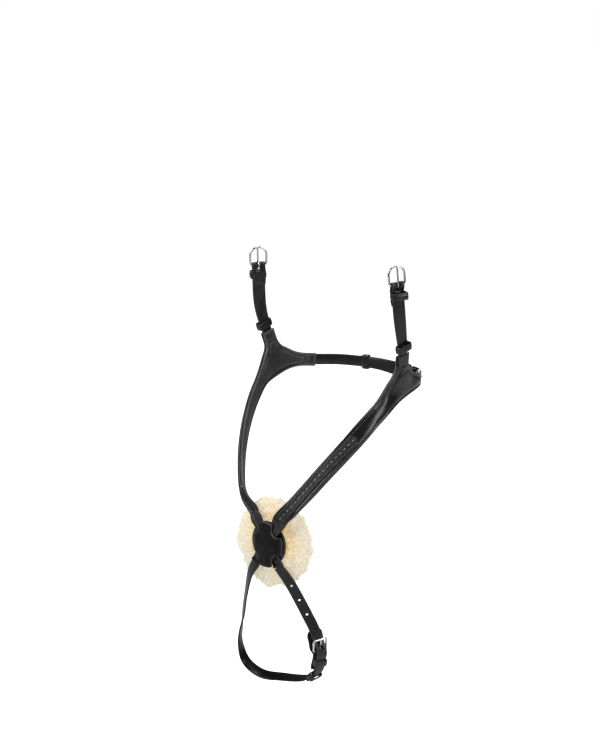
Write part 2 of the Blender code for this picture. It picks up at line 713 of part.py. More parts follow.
def make_side(prefix, side_sign):
    """Everything from one head buckle down to the crossing."""
    up = head_route(side_sign)
    nose = nose_route(side_sign, 0 if side_sign > 0 else LAYER_STEP)
    rear = jaw_route(side_sign)
    short = on_grid(nose.marks[-2] - UPPER_MOUTH - LINING_SHORT, STEP)
    held = TUCK + CLEARANCE
    layers = (
        ("leather", LEATHER_LIFT, LEATHER_THICKNESS, 0, 0, nose.length, leather, EDGE_BREAK),
        ("padding", -PADDING_THICKNESS / 2, PADDING_THICKNESS, PADDING_INSET, held, short, foam, 0),
        ("lining", LINING_LIFT, LINING_THICKNESS, -LINING_MARGIN, 0, short, soft_leather, 0),
    )
    up_width = steady(HEAD_STRAP_WIDTH + UP_ARM_EXTRA)
    rear_width = steady(JAW_STRAP_WIDTH + REAR_ARM_EXTRA)
    width_down = nose_width(nose, NOSE_STRAP_WIDTH)
    for layer, lift, thickness, inset, held_back, nose_end, look, edge in layers:
        arms = (
            (up, (CORNER_FRONT, CORNER_REAR), UP_ARM - held, up_width, UP_ARM - held_back),
            (rear, (CORNER_REAR, CORNER_LOW), REAR_ARM - held, rear_width, REAR_ARM - held_back),
            (nose, (CORNER_LOW, CORNER_FRONT), NOSE_FLARE, width_down, nose_end),
        )
        cheek_layer(f"{prefix}_cheek_{layer}", side_sign, arms, lift, thickness, inset, look, edge)
    band_start = on_grid(nose.length * BAND_SHARE, STEP)
    band_end = on_grid(nose.marks[-2] - UPPER_MOUTH - BAND_SHORT, STEP)
    rows = layer_rows(nose, stations(band_start, band_end, STEP), BAND_LIFT, NOSE_BAND_WIDTH)
    ribbon(f"{prefix}_nose_band", rows, BAND_THICKNESS, leather, EDGE_BREAK)
    bar = up.length
    folded_strap(f"{prefix}_head_strap", up, STEP, UP_ARM - TUCK, bar, HEAD_STRAP_WIDTH, leather)
    place = up.frame(bar)
    width = HEAD_STRAP_WIDTH + 2 * FRAME_PLAY + WIRE
    wire_frame(f"{prefix}_head_buckle_frame", *place, width, HEAD_FRAME_LENGTH, True, steel)
    out = WIRE / 2 + CLEARANCE + TONGUE_WIRE / 2
    path = ((HEAD_TONGUE_BEND, out), (HEAD_FRAME_LENGTH + TONGUE_PAST, out))
    tongue(f"{prefix}_head_buckle_tongue", *place, path, steel)
    low = -STRAP_THICKNESS / 2 - 1.5 * CLEARANCE
    high = STRAP_THICKNESS / 2 + BILLET_SPACE
    place = up.frame(bar - HEAD_KEEPER_BACK)
    width = HEAD_STRAP_WIDTH + 2 * CLEARANCE
    loop_band(f"{prefix}_head_keeper", *place, width, low, high, RUNNER_LENGTH, leather)
    high = STRAP_THICKNESS / 2 + HEAD_RUNNER_SPACE
    place = up.frame(HEAD_RUNNER)
    width = HEAD_STRAP_WIDTH + 2 * RUNNER_PLAY
    loop_band(f"{prefix}_head_runner", *place, width, low - RUNNER_PLAY / 2, high, RUNNER_LENGTH, leather)


def chin_marks():
    """The chin loop's line, from the off mouth under the chin to the near mouth."""
    top = -CROSSING_DROP - MOUTH_DROP
    wider, lower = CHIN_START
    halves = []
    for sign in (-1, 1):
        depth = -LEATHER_LIFT - LEATHER_THICKNESS / 2 + (LAYER_STEP if sign > 0 else 0)
        reach = -CROSSING_REACH + depth
        start = Vector((sign * (MOUTH_ACROSS + wider), reach, top - lower))
        half = [(start, outward(CHIN_START_TURN * sign))]
        for (across, drop, back), facing in zip(CHIN_MARKS[sign], CHIN_FACINGS[sign]):
            spot = Vector((
                sign * across * CHIN_SPREAD / 2,
                blend(reach, -CHIN_REACH, back),
                blend(top, -CHIN_DROP, drop),
            ))
            half.append((spot, Vector(facing)))
        halves.append(half)
    bottom = Vector((0, -CHIN_REACH + CHIN_BOTTOM_BACK, blend(top, -CHIN_DROP, CHIN_BOTTOM)))
    return halves[0] + [(bottom, Vector(CHIN_UNDER))] + halves[1][::-1]


def billet_lift(bar):
    """A billet's inner face: under the frame's far bar, over the fold and down onto the strap."""
    on_strap = STRAP_THICKNESS / 2 + 1.6 * CLEARANCE
    over_fold = fold_lift() + STRAP_THICKNESS + CLEARANCE
    steps = ((BILLET_ON_STRAP, on_strap), (-BILLET_TOP, over_fold), (BILLET_TOP, over_fold), *BILLET_FALL)

    def at(along):
        here = along - bar
        if here <= steps[0][0]:
            return steps[0][1]
        for (low, start), (high, end) in zip(steps, steps[1:]):
            if here <= high:
                return blend(start, end, ease((here - low) / (high - low)))
        return steps[-1][1]

    return at


def make_billet(name, route, bar, tip, end, width, look):
    """A billet from its rounded tip under the runner, up through the buckle, to its sewn end."""
    tip = on_grid(tip, LOW_STEP)
    lengths = [tip, tip + LOW_STEP / 2]
    lengths += stations(tip + LOW_STEP, bar - FOLD_RETURN, LOW_STEP)
    lengths += [bar + past for past in BILLET_ROWS]
    lengths += stations(bar + BILLET_ROWS[-1], end, LOW_STEP)[1:]
    rows = layer_rows(route, lengths, billet_lift(bar), round_end(width, tip, BILLET_ROUND))
    return ribbon(name, rows, STRAP_THICKNESS, look)


def make_low_buckle(prefix, route, bar, width):
    """Frame, tongue and fixed keeper of a buckle that holds a billet."""
    point, travel, facing, side = route.frame(bar)
    lean = math.asin(LOW_FRAME_RISE / LOW_FRAME_LENGTH)
    up = travel * math.cos(lean) + facing * math.sin(lean)
    out = facing * math.cos(lean) - travel * math.sin(lean)
    frame_width = width + 2 * FRAME_PLAY + WIRE
    wire_frame(f"{prefix}_buckle_frame", point, up, out, side, frame_width, LOW_FRAME_LENGTH, False, steel)
    rest = LOW_FRAME_RISE + WIRE / 2 + CLEARANCE + TONGUE_WIRE / 2
    path = (*LOW_TONGUE_BENDS, (LOW_FRAME_LENGTH + TONGUE_PAST, rest + LOW_TONGUE_TIP))
    tongue(f"{prefix}_buckle_tongue", point, travel, facing, side, path, steel)
    low = -STRAP_THICKNESS / 2 - 1.5 * CLEARANCE
    high = STRAP_THICKNESS / 2 + STRAP_THICKNESS + 3 * CLEARANCE
    place = route.frame(bar - KEEPER_BACK)
    return loop_band(f"{prefix}_keeper", *place, width + 2 * CLEARANCE, low, high, KEEPER_LENGTH, leather)


def make_guard(name, route, bar, start, wide_from, width, look):
    """A padded guard that lies behind a buckle and reaches past its far bar."""
    tip = bar + LOW_FRAME_LENGTH + GUARD_OVERHANG
    near = -STRAP_THICKNESS / 2 - CLEARANCE - GUARD_THICKNESS
    behind = near - 3.5 * CLEARANCE - KEEPER_THICKNESS - STRAP_THICKNESS

    end = round_end(1, tip, GUARD_ROUND)
    sink_start, sink_end = GUARD_SINKS

    def lift(along):
        return blend(near, behind, ramp(along, bar - sink_start, bar - sink_end))

    def spread(along):
        narrow = width - GUARD_START_TRIM
        return blend(narrow, width + 2 * GUARD_MARGIN, ramp(along, *wide_from)) * end(along)

    lengths = stations(start, bar, LOW_STEP) + stations(bar, tip - GUARD_ROUND, STEP)[1:]
    lengths += [tip - step for step in GUARD_TIP_ROWS]
    return ribbon(name, layer_rows(route, lengths, lift, spread), GUARD_THICKNESS, look, GUARD_EDGE)


def make_runner(name, route, along, width, play, look):
    low = -STRAP_THICKNESS / 2 - play
    high = STRAP_THICKNESS / 2 + CLEARANCE + STRAP_THICKNESS + play
    loop_band(name, *route.frame(along), width + 2 * RUNNER_PLAY, low, high, KEEPER_LENGTH, look)


def punch_holes(made, route, bar, pitches):
    """The slot that the tongue lies in, and spare holes this many pitches from it."""
    lift = billet_lift(bar)
    for number, pitch in enumerate((0, *pitches)):
        along = bar + TONGUE_HOLE + HOLE_PITCH * pitch
        width, length = (SPARE_HOLE, SPARE_HOLE) if pitch else (HOLE_DIAMETER, TONGUE_HOLE_LENGTH)
        point, travel, facing, side = route.frame(along)
        spot = point + facing * lift(along)
        cut(made, hole_cutter(f"{made.name}_hole_{number}", spot, side, travel, facing, width, length))


def make_jaw():
    route = jaw_route(-1)
    bar = route.length - REAR_ARM - LOW_FRAME_LENGTH - JAW_BUCKLE_GAP
    folded_strap("jaw_strap", route, STEP, REAR_ARM - TUCK, bar, JAW_STRAP_WIDTH, leather)
    runner = route.marks[JAW_MIDDLE_MARK] - JAW_RUNNER_BACK
    start = runner + KEEPER_LENGTH / 2 + JAW_RUNNER_PLAY
    make_guard("jaw_guard", route, bar, start, (start, bar), JAW_STRAP_WIDTH, soft_leather)
    tip = runner - BILLET_PAST_RUNNER
    end = route.length - REAR_ARM + TUCK
    billet = make_billet("jaw_billet", route, bar, tip, end, JAW_STRAP_WIDTH, leather)
    punch_holes(billet, route, bar, (-1,))
    make_low_buckle("jaw", route, bar, JAW_STRAP_WIDTH)
    make_runner("jaw_runner", route, runner, JAW_STRAP_WIDTH, RUNNER_PLAY, leather)


def mouth_pivot():
    """The middle of the line across which the chin loop bends where it leaves the crossing."""
    return Vector((0, -CROSSING_REACH, -CROSSING_DROP - MOUTH_DROP))


def make_chin():
    """The chin loop. Returns the pieces that swing with it."""
    route = Route(chin_marks())
    bar = route.marks[-1 - CHIN_BUCKLE_MARK]
    strap = folded_strap("chin_strap", route, LOW_STEP, 0, bar, CHIN_STRAP_WIDTH, leather)
    runner = route.marks[-1 - CHIN_RUNNER_MARK] - CHIN_RUNNER_SHIFT
    start = runner + KEEPER_LENGTH / 2 + CHIN_RUNNER_PLAY
    wide_from = [bar + past for past in CHIN_GUARD_WIDENS]
    guard = make_guard("chin_guard", route, bar, start, wide_from, CHIN_STRAP_WIDTH, soft_leather)
    tip = runner - BILLET_PAST_RUNNER
    billet = make_billet("chin_billet", route, bar, tip, route.length, CHIN_STRAP_WIDTH, leather)
    punch_holes(billet, route, bar, (1, 2, 3, 4))
    keeper = make_low_buckle("chin", route, bar, CHIN_STRAP_WIDTH)
    make_runner("chin_runner", route, runner, CHIN_STRAP_WIDTH, CHIN_RUNNER_ROOM, leather)
    return strap, guard, billet, keeper


def crossing_point(lift):
    """A point on the crossing's middle line, this far out from the near strap's middle plane."""
    return Vector((0, -CROSSING_REACH - lift, -CROSSING_DROP))


def make_disc(name, size, back, thickness, look):
    disc = bmesh.new()
    bmesh.ops.create_cone(disc, cap_ends=True, segments=32, radius1=0.5, radius2=0.5, depth=1)
    bmesh.ops.scale(disc, vec=(size[0], size[1], thickness), verts=disc.verts)
    place = placed(crossing_point(back + thickness / 2), Vector((1, 0, 0)), UP, Vector((0, -1, 0)))
    bmesh.ops.transform(disc, matrix=place, verts=disc.verts)
    bmesh.ops.recalc_face_normals(disc, faces=disc.faces)
    return finish(name, disc, look)


def make_crossing():
    base_front = LEATHER_LIFT - LAYER_STEP - CLEARANCE
    make_disc("crossing_base", BASE_SIZE, base_front - LEATHER_THICKNESS, LEATHER_THICKNESS, leather)
    backing_front = base_front - LEATHER_THICKNESS - CLEARANCE
    make_disc("sheepskin_backing", (BACKING_DIAMETER, BACKING_DIAMETER), backing_front - BACKING_THICKNESS,
              BACKING_THICKNESS, hide)
    make_cover(base_front + CLEARANCE)
    make_pad(backing_front - BACKING_THICKNESS - CLEARANCE)


def make_cover(edge_lift):
    """The leather cover: arched over the crossed straps, sewn to the base at its sides, with four notches."""
    high = LEATHER_LIFT + LEATHER_THICKNESS + LAYER_GAP
    half = COVER_SIZE[0] / 2
    slope_start, slope_end = (half - inset for inset in COVER_SLOPE)
    sheet = bmesh.new()
    bmesh.ops.create_grid(sheet, x_segments=14, y_segments=8, size=1)
    for vertex in sheet.verts:
        across, rise = vertex.co.x, vertex.co.y
        x = across * math.sqrt(1 - rise * rise / 2) * half
        z = rise * math.sqrt(1 - across * across / 2) * COVER_SIZE[1] / 2
        lift = blend(high, edge_lift, ramp(abs(x), slope_start, slope_end))
        vertex.co = crossing_point(lift) + Vector((x, 0, z))
    cover = thicken(finish("crossing_cover", sheet, leather), COVER_THICKNESS)
    notch = Vector((half * NOTCH_SHARES[0], 0, COVER_SIZE[1] * NOTCH_SHARES[1]))
    for number, (x_sign, z_sign) in enumerate(((1, 1), (-1, 1), (1, -1), (-1, -1))):
        corner = crossing_point(0) + Vector((x_sign * notch.x, 0, z_sign * notch.z))
        punch = bmesh.new()
        bmesh.ops.create_cone(punch, cap_ends=True, segments=20, radius1=COVER_NOTCH, radius2=COVER_NOTCH,
                              depth=NOTCH_DEPTH)
        bmesh.ops.transform(punch, matrix=placed(corner, Vector((1, 0, 0)), UP, Vector((0, -1, 0))),
                            verts=punch.verts)
        bmesh.ops.recalc_face_normals(punch, faces=punch.faces)
        cut(cover, finish(f"crossing_notch_{number}", punch, leather))


def make_pad(front):
    """The round sheepskin pad, fuller in the middle and rounded at its rim."""
    radius = PAD_DIAMETER / 2
    half = PAD_THICKNESS / 2
    pad = bmesh.new()
    knots = [pad.verts.new((out * radius, rise * half, 0)) for out, rise in PAD_PROFILE]
    edges = [pad.edges.new(pair) for pair in zip(knots, knots[1:])]
    bmesh.ops.spin(pad, geom=knots + edges, axis=(0, 1, 0), cent=(0, 0, 0), angle=math.tau, steps=28,
                   use_merge=True)
    bmesh.ops.remove_doubles(pad, verts=pad.verts, dist=WELD)
    bmesh.ops.recalc_face_normals(pad, faces=pad.faces)
    bmesh.ops.translate(pad, vec=crossing_point(front - half) + Vector(PAD_SHIFT), verts=pad.verts)
    finish("wool_pile", pad, wool, smooth=True)


def hang(pieces, pivot):
    """Gives pieces that swing together one parent, an empty on their hinge's axis."""
    hinge = bpy.data.objects.new("chin_loop_hinge", None)
    hinge.location = pivot
    bpy.context.scene.collection.objects.link(hinge)
    for piece in pieces:
        piece.parent = hinge
        piece.location -= pivot


make_side("near", 1)
make_side("off", -1)
make_jaw()
hang(make_chin(), mouth_pivot())
make_crossing()
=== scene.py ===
"""The looks of a figure eight noseband: bridle leather, soft lining, thread, steel and sheepskin.

+Z is up, the nose points along -Y and the near side is +X. Lengths are in metres. A lift is measured
outwards from a strap's middle plane, and a length along a strap runs from its plate or from the crossing.
"""
import math
import random

import bmesh
import bpy
from mathutils import Matrix, Vector, kdtree, noise


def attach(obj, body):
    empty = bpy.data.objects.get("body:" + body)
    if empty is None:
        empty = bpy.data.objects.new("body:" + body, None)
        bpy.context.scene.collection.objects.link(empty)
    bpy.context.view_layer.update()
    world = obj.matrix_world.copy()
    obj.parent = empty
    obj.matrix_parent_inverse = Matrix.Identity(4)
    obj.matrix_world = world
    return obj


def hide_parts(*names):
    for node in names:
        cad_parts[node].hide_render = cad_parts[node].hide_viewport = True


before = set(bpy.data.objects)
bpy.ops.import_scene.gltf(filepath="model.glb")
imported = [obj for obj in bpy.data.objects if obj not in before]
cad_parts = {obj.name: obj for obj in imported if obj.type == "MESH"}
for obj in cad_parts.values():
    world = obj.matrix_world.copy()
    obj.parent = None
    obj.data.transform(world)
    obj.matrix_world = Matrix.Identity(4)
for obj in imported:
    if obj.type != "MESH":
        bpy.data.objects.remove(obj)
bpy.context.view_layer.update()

MM = 0.001
UP = Vector((0, 0, 1))
NEARLY = 0.003 * MM

# Where the noseband goes round the head
HEAD_SPREAD = 200 * MM
PLATE_SPREAD = 186 * MM
PLATE_SETBACK = 27 * MM
PLATE_DROP = 125 * MM
CROSSING_REACH = 116 * MM
CROSSING_DROP = 302 * MM
JAW_SETBACK = 115 * MM
JAW_DROP = 133 * MM
CHIN_SPREAD = 118 * MM
CHIN_REACH = 92 * MM
CHIN_DROP = 489 * MM

# Leather
CLEARANCE = 0.3 * MM
STRAP_THICKNESS = 2.0 * MM
LEATHER_THICKNESS = 2.0 * MM
LINING_THICKNESS = 1.6 * MM
BAND_THICKNESS = 1.0 * MM
LAYER_GAP = 0.5 * MM
LAYER_STEP = LEATHER_THICKNESS + CLEARANCE
LEATHER_LIFT = STRAP_THICKNESS / 2 + CLEARANCE
LEATHER_FRONT = LEATHER_LIFT + LEATHER_THICKNESS
STRAP_BACK = -STRAP_THICKNESS / 2
HEAD_STRAP_WIDTH = 16 * MM
JAW_STRAP_WIDTH = 14 * MM
CHIN_STRAP_WIDTH = 13 * MM
NOSE_STRAP_WIDTH = 20 * MM
NOSE_BAND_WIDTH = 13 * MM
CROSSING_STRAP_WIDTH = 14 * MM
LINING_MARGIN = 1 * MM
TUCK = 12 * MM
FOLD_RETURN = 25 * MM
CROWN = 0.12 * MM
CREASE = 0.16 * MM

# Cheek plates
CORNER_REAR = (12 * MM, 16 * MM)
CORNER_LOW = (-12 * MM, -20 * MM)
CORNER_FRONT = (-28 * MM, 8 * MM)
PLATE_CENTRE = (-9 * MM, 1 * MM)
UP_ARM = 42 * MM
REAR_ARM = 64 * MM
NOSE_FLARE = 54 * MM
FLARE_STEPS = 26
CORNER_PULL = 0.36
ARM_PULL = 0.36
RIM = 4.2 * MM
SEAM_INSET = 3.4 * MM

# Buckles, keepers and runners
WIRE = 2.6 * MM
TONGUE_WIRE = 2.2 * MM
FRAME_PLAY = 0.8 * MM
HEAD_FRAME_LENGTH = 22 * MM
LOW_FRAME_LENGTH = 15 * MM
LOW_FRAME_RISE = 3.2 * MM
HOLE_PITCH = 20 * MM
SPARE_HOLE = (2.8 * MM, 2.8 * MM)
TONGUE_HOLE = (4.2 * MM, 11.5 * MM)
TONGUE_HOLE_BACK = 8 * MM
KEEPER_THICKNESS = 1.2 * MM
KEEPER_LENGTH = 8 * MM
KEEPER_BACK = 15.5 * MM
HEAD_KEEPER_BACK = 13 * MM
BILLET_SPACE = 7.2 * MM
RUNNER_LENGTH = 9 * MM
RUNNER_PLAY = 0.9 * MM
CHIN_RUNNER_ROOM = 1.6 * MM
HEAD_RUNNER = 51 * MM
HEAD_RUNNER_SPACE = 4.2 * MM
LOOP_BACK = STRAP_BACK - 1.5 * CLEARANCE
FOLD_LIFT = WIRE / 2 + CLEARANCE
TONGUE_LIFT = FOLD_LIFT + TONGUE_WIRE / 2

# Crossing and pad
UPPER_MOUTH = 26 * MM
LINING_SHORT = 12 * MM
BAND_SHARE = 0.33
BASE_SIZE = (49 * MM, 54 * MM)
COVER_SIZE = (42 * MM, 56 * MM)
COVER_THICKNESS = 2.0 * MM
COVER_NOTCH = 9.5 * MM
COVER_DOME = 1.1 * MM
COVER_POWER = 2.35
COVER_SPOTS = 240
BACKING_DIAMETER = 46 * MM
BACKING_THICKNESS = 1.5 * MM
PAD_DIAMETER = 109 * MM
PAD_THICKNESS = 24 * MM
PAD_SHIFT = (-3 * MM, 0, -4 * MM)
BASE_FRONT = LEATHER_LIFT - LAYER_STEP - CLEARANCE
BASE_BACK = BASE_FRONT - LEATHER_THICKNESS
BACKING_BACK = BASE_BACK - CLEARANCE - BACKING_THICKNESS
PAD_FRONT = BACKING_BACK - CLEARANCE

# Guards
GUARD_THICKNESS = 3.2 * MM
GUARD_MARGIN = 3.5 * MM
GUARD_OVERHANG = 12 * MM
GUARD_CROWN = 0.7 * MM
GUARD_CREASE = 0.3 * MM

# Facing of each head strap, its bow, and the handles of the nose straps' curves
HEAD_TURNS = {1: (86, 84, 81, 70, 60, 60), -1: (-92, -94, -98, -115, -128, -128)}
HEAD_BULGE = ((2 * MM, -2.6 * MM), (4.5 * MM, -3.3 * MM), (5 * MM, -5.4 * MM), (3.5 * MM, -4.6 * MM))
NOSE_LEAVE = (7 * MM, -67 * MM, -28 * MM)
NOSE_ARRIVE = {1: (32 * MM, -30 * MM, 44 * MM), -1: (37 * MM, -36 * MM, 44 * MM)}
NOSE_FACINGS = {
    1: ((72, 4), (44, 16), (16, 28), (2, 34), (0, 28)),
    -1: ((-84, 0), (-76, 0), (-67, 0), (-60, 0), (-52, 0)),
}
MOUTH_AHEAD_FACINGS = {1: (0, 10), -1: (-28, 0)}
MOUTH_ACROSS = 15 * MM
MOUTH_DROP = 25 * MM

# The jaw strap from each plate: share of the plate's spread, of the way back, and its facing
JAW_MARKS = ((1.02, 0.15, 97), (0.97, 0.39, 112), (0.8, 0.7, 133), (0.5, 0.91, 154))

# Chin loop from each mouth to the bottom: share of its half width, of its drop and of its setback
CHIN_MARKS = {
    1: ((0.48, 0.12, 0.2), (0.73, 0.33, 0.6), (0.92, 0.5, 0.87), (0.99, 0.64, 1.0), (0.98, 0.745, 1.0),
        (0.87, 0.838, 1.0), (0.58, 0.905, 1.04)),
    -1: ((0.49, 0.12, 0.2), (0.74, 0.33, 0.6), (0.9, 0.504, 0.87), (1.01, 0.641, 1.0), (1.04, 0.77, 1.0),
         (0.89, 0.908, 1.0), (0.494, 0.975, 1.04)),
}
CHIN_FACINGS = {
    1: ((0.5, -0.87, 0), (0.7, -0.7, 0), (0.84, -0.54, 0), (0.91, -0.41, 0), (0.9, -0.35, -0.2),
        (0.75, -0.1, -0.65), (0.38, 0.25, -0.89)),
    -1: ((-0.51, -0.87, 0), (-0.69, -0.71, 0), (-0.72, -0.69, -0.05), (-0.92, -0.38, 0.08),
         (-0.94, -0.24, -0.19), (-0.79, 0.2, -0.45), (-0.4, 0.37, -0.68)),
}
CHIN_BOTTOM = 0.957
CHIN_UNDER = (0, 0.41, -0.89)
CHIN_BUCKLE_MARK = 4
CHIN_RUNNER_MARK = 6
CHIN_RUNNER_PLAY = 2.5 * MM


def outward(azimuth, rise=0):
    """The direction this many degrees from the front, towards the near side, and this many up."""
    turn = math.radians(azimuth)
    level = Vector((math.sin(turn), -math.cos(turn), 0))
    return level * math.cos(math.radians(rise)) + UP * math.sin(math.radians(rise))


def link_object(name, data):
    made = bpy.data.objects.new(name, data)
    bpy.context.scene.collection.objects.link(made)
    return made


def mesh_object(name, shape):
    data = bpy.data.meshes.new(name)
    shape.to_mesh(data)
    shape.free()
    return link_object(name, data)


def add_node(tree, kind, values=(), **settings):
    made = tree.nodes.new(kind)
    for name, value in settings.items():
        setattr(made, name, value)
    for name, value in values:
        made.inputs[name].default_value = value
    return made


def join(tree, source, output, target, socket):
    tree.links.new(source.outputs[output], target.inputs[socket])


# Camera, lamps and floor

VIEW_AIM = Vector((-6.6, -42.8, -114.6)) * MM
VIEW_FROM = (36, 15)
VIEW_DISTANCE = 2.0
VIEW_LENS = 81.4
VIEW_SENSOR = 36
LAMP_AIM = Vector((0, -40, -250)) * MM
LAMP_DISTANCE = 1.8
# Each lamp's name, azimuth and elevation, width and height, and power
LAMPS = (
    ("window", (-34, 36), (0.5, 1.3), 15),
    ("fill", (92, 24), (0.35, 1.3), 11),
    ("overhead", (36, 80), (1.2, 0.45), 12),
    ("behind", (205, 30), (0.8, 1.0), 8),
)
ROOM_LIGHT = 0.11
FLOOR_DROP = 0.56
FLOOR_HALF = 9
FLOOR_GLOW = 0.94


def look_from(name, data, aim, angles, distance):
    """Stands a camera or a lamp at a distance from what it is aimed at."""
    made = link_object(name, data)
    made.location = aim + outward(*angles) * distance
    made.rotation_euler = (aim - made.location).to_track_quat("-Z", "Y").to_euler()
    return made


def place_camera():
    lens = bpy.data.cameras.new("noseband_view")
    lens.lens = VIEW_LENS
    lens.sensor_fit = "AUTO"
    lens.sensor_width = VIEW_SENSOR
    bpy.context.scene.camera = look_from("noseband_view", lens, VIEW_AIM, VIEW_FROM, VIEW_DISTANCE)


def light_room():
    """A white room that gives little light itself, and four soft lamps."""
    bpy.context.scene.view_settings.view_transform = "Standard"
    world = bpy.data.worlds.new("studio")
    world.use_nodes = True
    tree = world.node_tree
    ground = tree.nodes["Background"]
    ground.inputs["Color"].default_value = (1, 1, 1, 1)
    path = add_node(tree, "ShaderNodeLightPath")
    seen = add_node(tree, "ShaderNodeMath", operation="MAXIMUM")
    join(tree, path, "Is Camera Ray", seen, 0)
    join(tree, path, "Is Transmission Ray", seen, 1)
    level = add_node(tree, "ShaderNodeMapRange", (("To Min", ROOM_LIGHT), ("To Max", 1.0)))
    join(tree, seen, 0, level, "Value")
    join(tree, level, "Result", ground, "Strength")
    bpy.context.scene.world = world
    for name, angles, size, power in LAMPS:
        lamp = bpy.data.lights.new(name, "AREA")
        lamp.shape = "RECTANGLE"
        lamp.size, lamp.size_y = size
        lamp.energy = power
        look_from(name, lamp, LAMP_AIM, angles, LAMP_DISTANCE)


def lay_floor():
    sheet = bmesh.new()
    bmesh.ops.create_grid(sheet, x_segments=1, y_segments=1, size=FLOOR_HALF)
    bmesh.ops.translate(sheet, vec=(0, 0, -FLOOR_DROP), verts=sheet.verts)
    paint, tree, shader = new_look("pale_floor", (
        ("Base Color", (0.86, 0.86, 0.86, 1)), ("Roughness", 0.8), ("Emission Color", (1, 1, 1, 1))))
    path = add_node(tree, "ShaderNodeLightPath")
    level = add_node(tree, "ShaderNodeMapRange", (("To Max", FLOOR_GLOW),))
    join(tree, path, "Is Camera Ray", level, "Value")
    join(tree, level, "Result", shader, "Emission Strength")
    floor = mesh_object("floor", sheet)
    floor.data.materials.append(paint)


# Finishes

def new_look(name, values=()):
    made = bpy.data.materials.new(name)
    made.use_nodes = True
    shader = made.node_tree.nodes["Principled BSDF"]
    for socket, value in values:
        shader.inputs[socket].default_value = value
    return made, made.node_tree, shader


def texture(tree, kind, values=(), **settings):
    """A texture on the piece's own coordinates."""
    made = add_node(tree, kind, values, **settings)
    join(tree, add_node(tree, "ShaderNodeTexCoord"), "Object", made, "Vector")
    return made


def grain(tree, scale, detail, roughness=0.5, distortion=0.0):
    values = (("Scale", scale), ("Detail", detail), ("Roughness", roughness), ("Distortion", distortion))
    return texture(tree, "ShaderNodeTexNoise", values)


def two_tones(tree, source, output, dark, light):
    """A colour between dark and light, as far as the source's output says."""
    tone = add_node(tree, "ShaderNodeMix", (("A", (*dark, 1)), ("B", (*light, 1))), data_type="RGBA")
    join(tree, source, output, tone, "Factor")
    return tone


def raise_surface(tree, source, output, shader, strength, distance):
    raised = add_node(tree, "ShaderNodeBump", (("Strength", strength), ("Distance", distance)))
    join(tree, source, output, raised, "Height")
    join(tree, raised, "Normal", shader, "Normal")


def leather_surface():
    """Pores, soft wrinkles and cloudiness of a hide: its height, and how light its clouds are."""
    group = bpy.data.node_groups.new("leather_surface", "ShaderNodeTree")
    for name in ("Pore Scale", "Pore Depth", "Wrinkle Scale"):
        group.interface.new_socket(name, in_out="INPUT", socket_type="NodeSocketFloat")
    for name in ("Height", "Clouds"):
        group.interface.new_socket(name, in_out="OUTPUT", socket_type="NodeSocketFloat")
    given = add_node(group, "NodeGroupInput")
    result = add_node(group, "NodeGroupOutput")
    pores = texture(group, "ShaderNodeTexVoronoi", feature="SMOOTH_F1")
    wrinkles = grain(group, 1, 6, 0.62, 0.6)
    clouds = grain(group, 38, 4, 0.6)
    join(group, given, "Pore Scale", pores, "Scale")
    join(group, given, "Wrinkle Scale", wrinkles, "Scale")
    deep = add_node(group, "ShaderNodeMath", operation="MULTIPLY")
    join(group, pores, "Distance", deep, 0)
    join(group, given, "Pore Depth", deep, 1)
    both = add_node(group, "ShaderNodeMath", operation="ADD")
    join(group, deep, 0, both, 0)
    join(group, wrinkles, "Fac", both, 1)
    join(group, both, 0, result, "Height")
    join(group, clouds, "Fac", result, "Clouds")
    return group


def leather_look(name, dark, light, wear_and_highlight, rough, pores, relief, coat, shine=0.32):
    """Leather in its dark and light colours. Its edges are lighter, partly wear and partly painted highlight;
    its grooves are painted near black, as painted shade.
    """
    made, tree, shader = new_look(name, (
        ("Coat Weight", coat), ("Coat Roughness", 0.16), ("Specular IOR Level", shine)))
    hide = add_node(tree, "ShaderNodeGroup")
    hide.node_tree = hide_grain
    for socket, value in zip(("Pore Scale", "Pore Depth", "Wrinkle Scale"), pores):
        hide.inputs[socket].default_value = value
    tone = two_tones(tree, hide, "Clouds", dark, light)
    # The edge attribute lightens the edges: partly edge wear, partly painted highlight.
    wear_and_highlight_mask = add_node(tree, "ShaderNodeAttribute", attribute_name="edge")
    patchy = add_node(tree, "ShaderNodeMath", operation="MULTIPLY")
    join(tree, wear_and_highlight_mask, "Fac", patchy, 0)
    join(tree, hide, "Clouds", patchy, 1)
    edge = two_tones(tree, patchy, 0, dark, wear_and_highlight)
    join(tree, tone, "Result", edge, "A")
    # Painted shade: the groove attribute darkens the sewn grooves to near black.
    groove_shade = add_node(tree, "ShaderNodeAttribute", attribute_name="groove")
    shade = two_tones(tree, groove_shade, "Fac", dark, PAINTED_GROOVE_SHADE)
    join(tree, edge, "Result", shade, "A")
    join(tree, shade, "Result", shader, "Base Color")
    values = (("From Min", 0.3), ("From Max", 0.7), ("To Min", rough[0]), ("To Max", rough[1]))
    gloss = add_node(tree, "ShaderNodeMapRange", values)
    join(tree, hide, "Clouds", gloss, "Value")
    join(tree, gloss, "Result", shader, "Roughness")
    raise_surface(tree, hide, "Height", shader, *relief)
    return made


def thread_look(name, dark, light, rough):
    """Waxed thread: a fine twist across each stitch."""
    made, tree, shader = new_look(name, (("Roughness", rough),))
    twist = grain(tree, 1600, 3)
    join(tree, two_tones(tree, twist, "Fac", dark, light), "Result", shader, "Base Color")
    raise_surface(tree, twist, "Fac", shader, 0.5, 0.2 * MM)
    return made


def steel_look():
    """Polished steel with fine scratches and slight tarnish."""
    made, tree, shader = new_look("polished_steel_wire", (("Metallic", 1),))
    smear = grain(tree, 420, 5, 0.7)
    tone = two_tones(tree, smear, "Fac", (0.62, 0.62, 0.63), (0.86, 0.86, 0.87))
    join(tree, tone, "Result", shader, "Base Color")
    gloss = add_node(tree, "ShaderNodeMapRange", (("To Min", 0.1), ("To Max", 0.26)))
    join(tree, smear, "Fac", gloss, "Value")
    join(tree, gloss, "Result", shader, "Roughness")
    raise_surface(tree, smear, "Fac", shader, 0.12, 0.2 * MM)
    return made


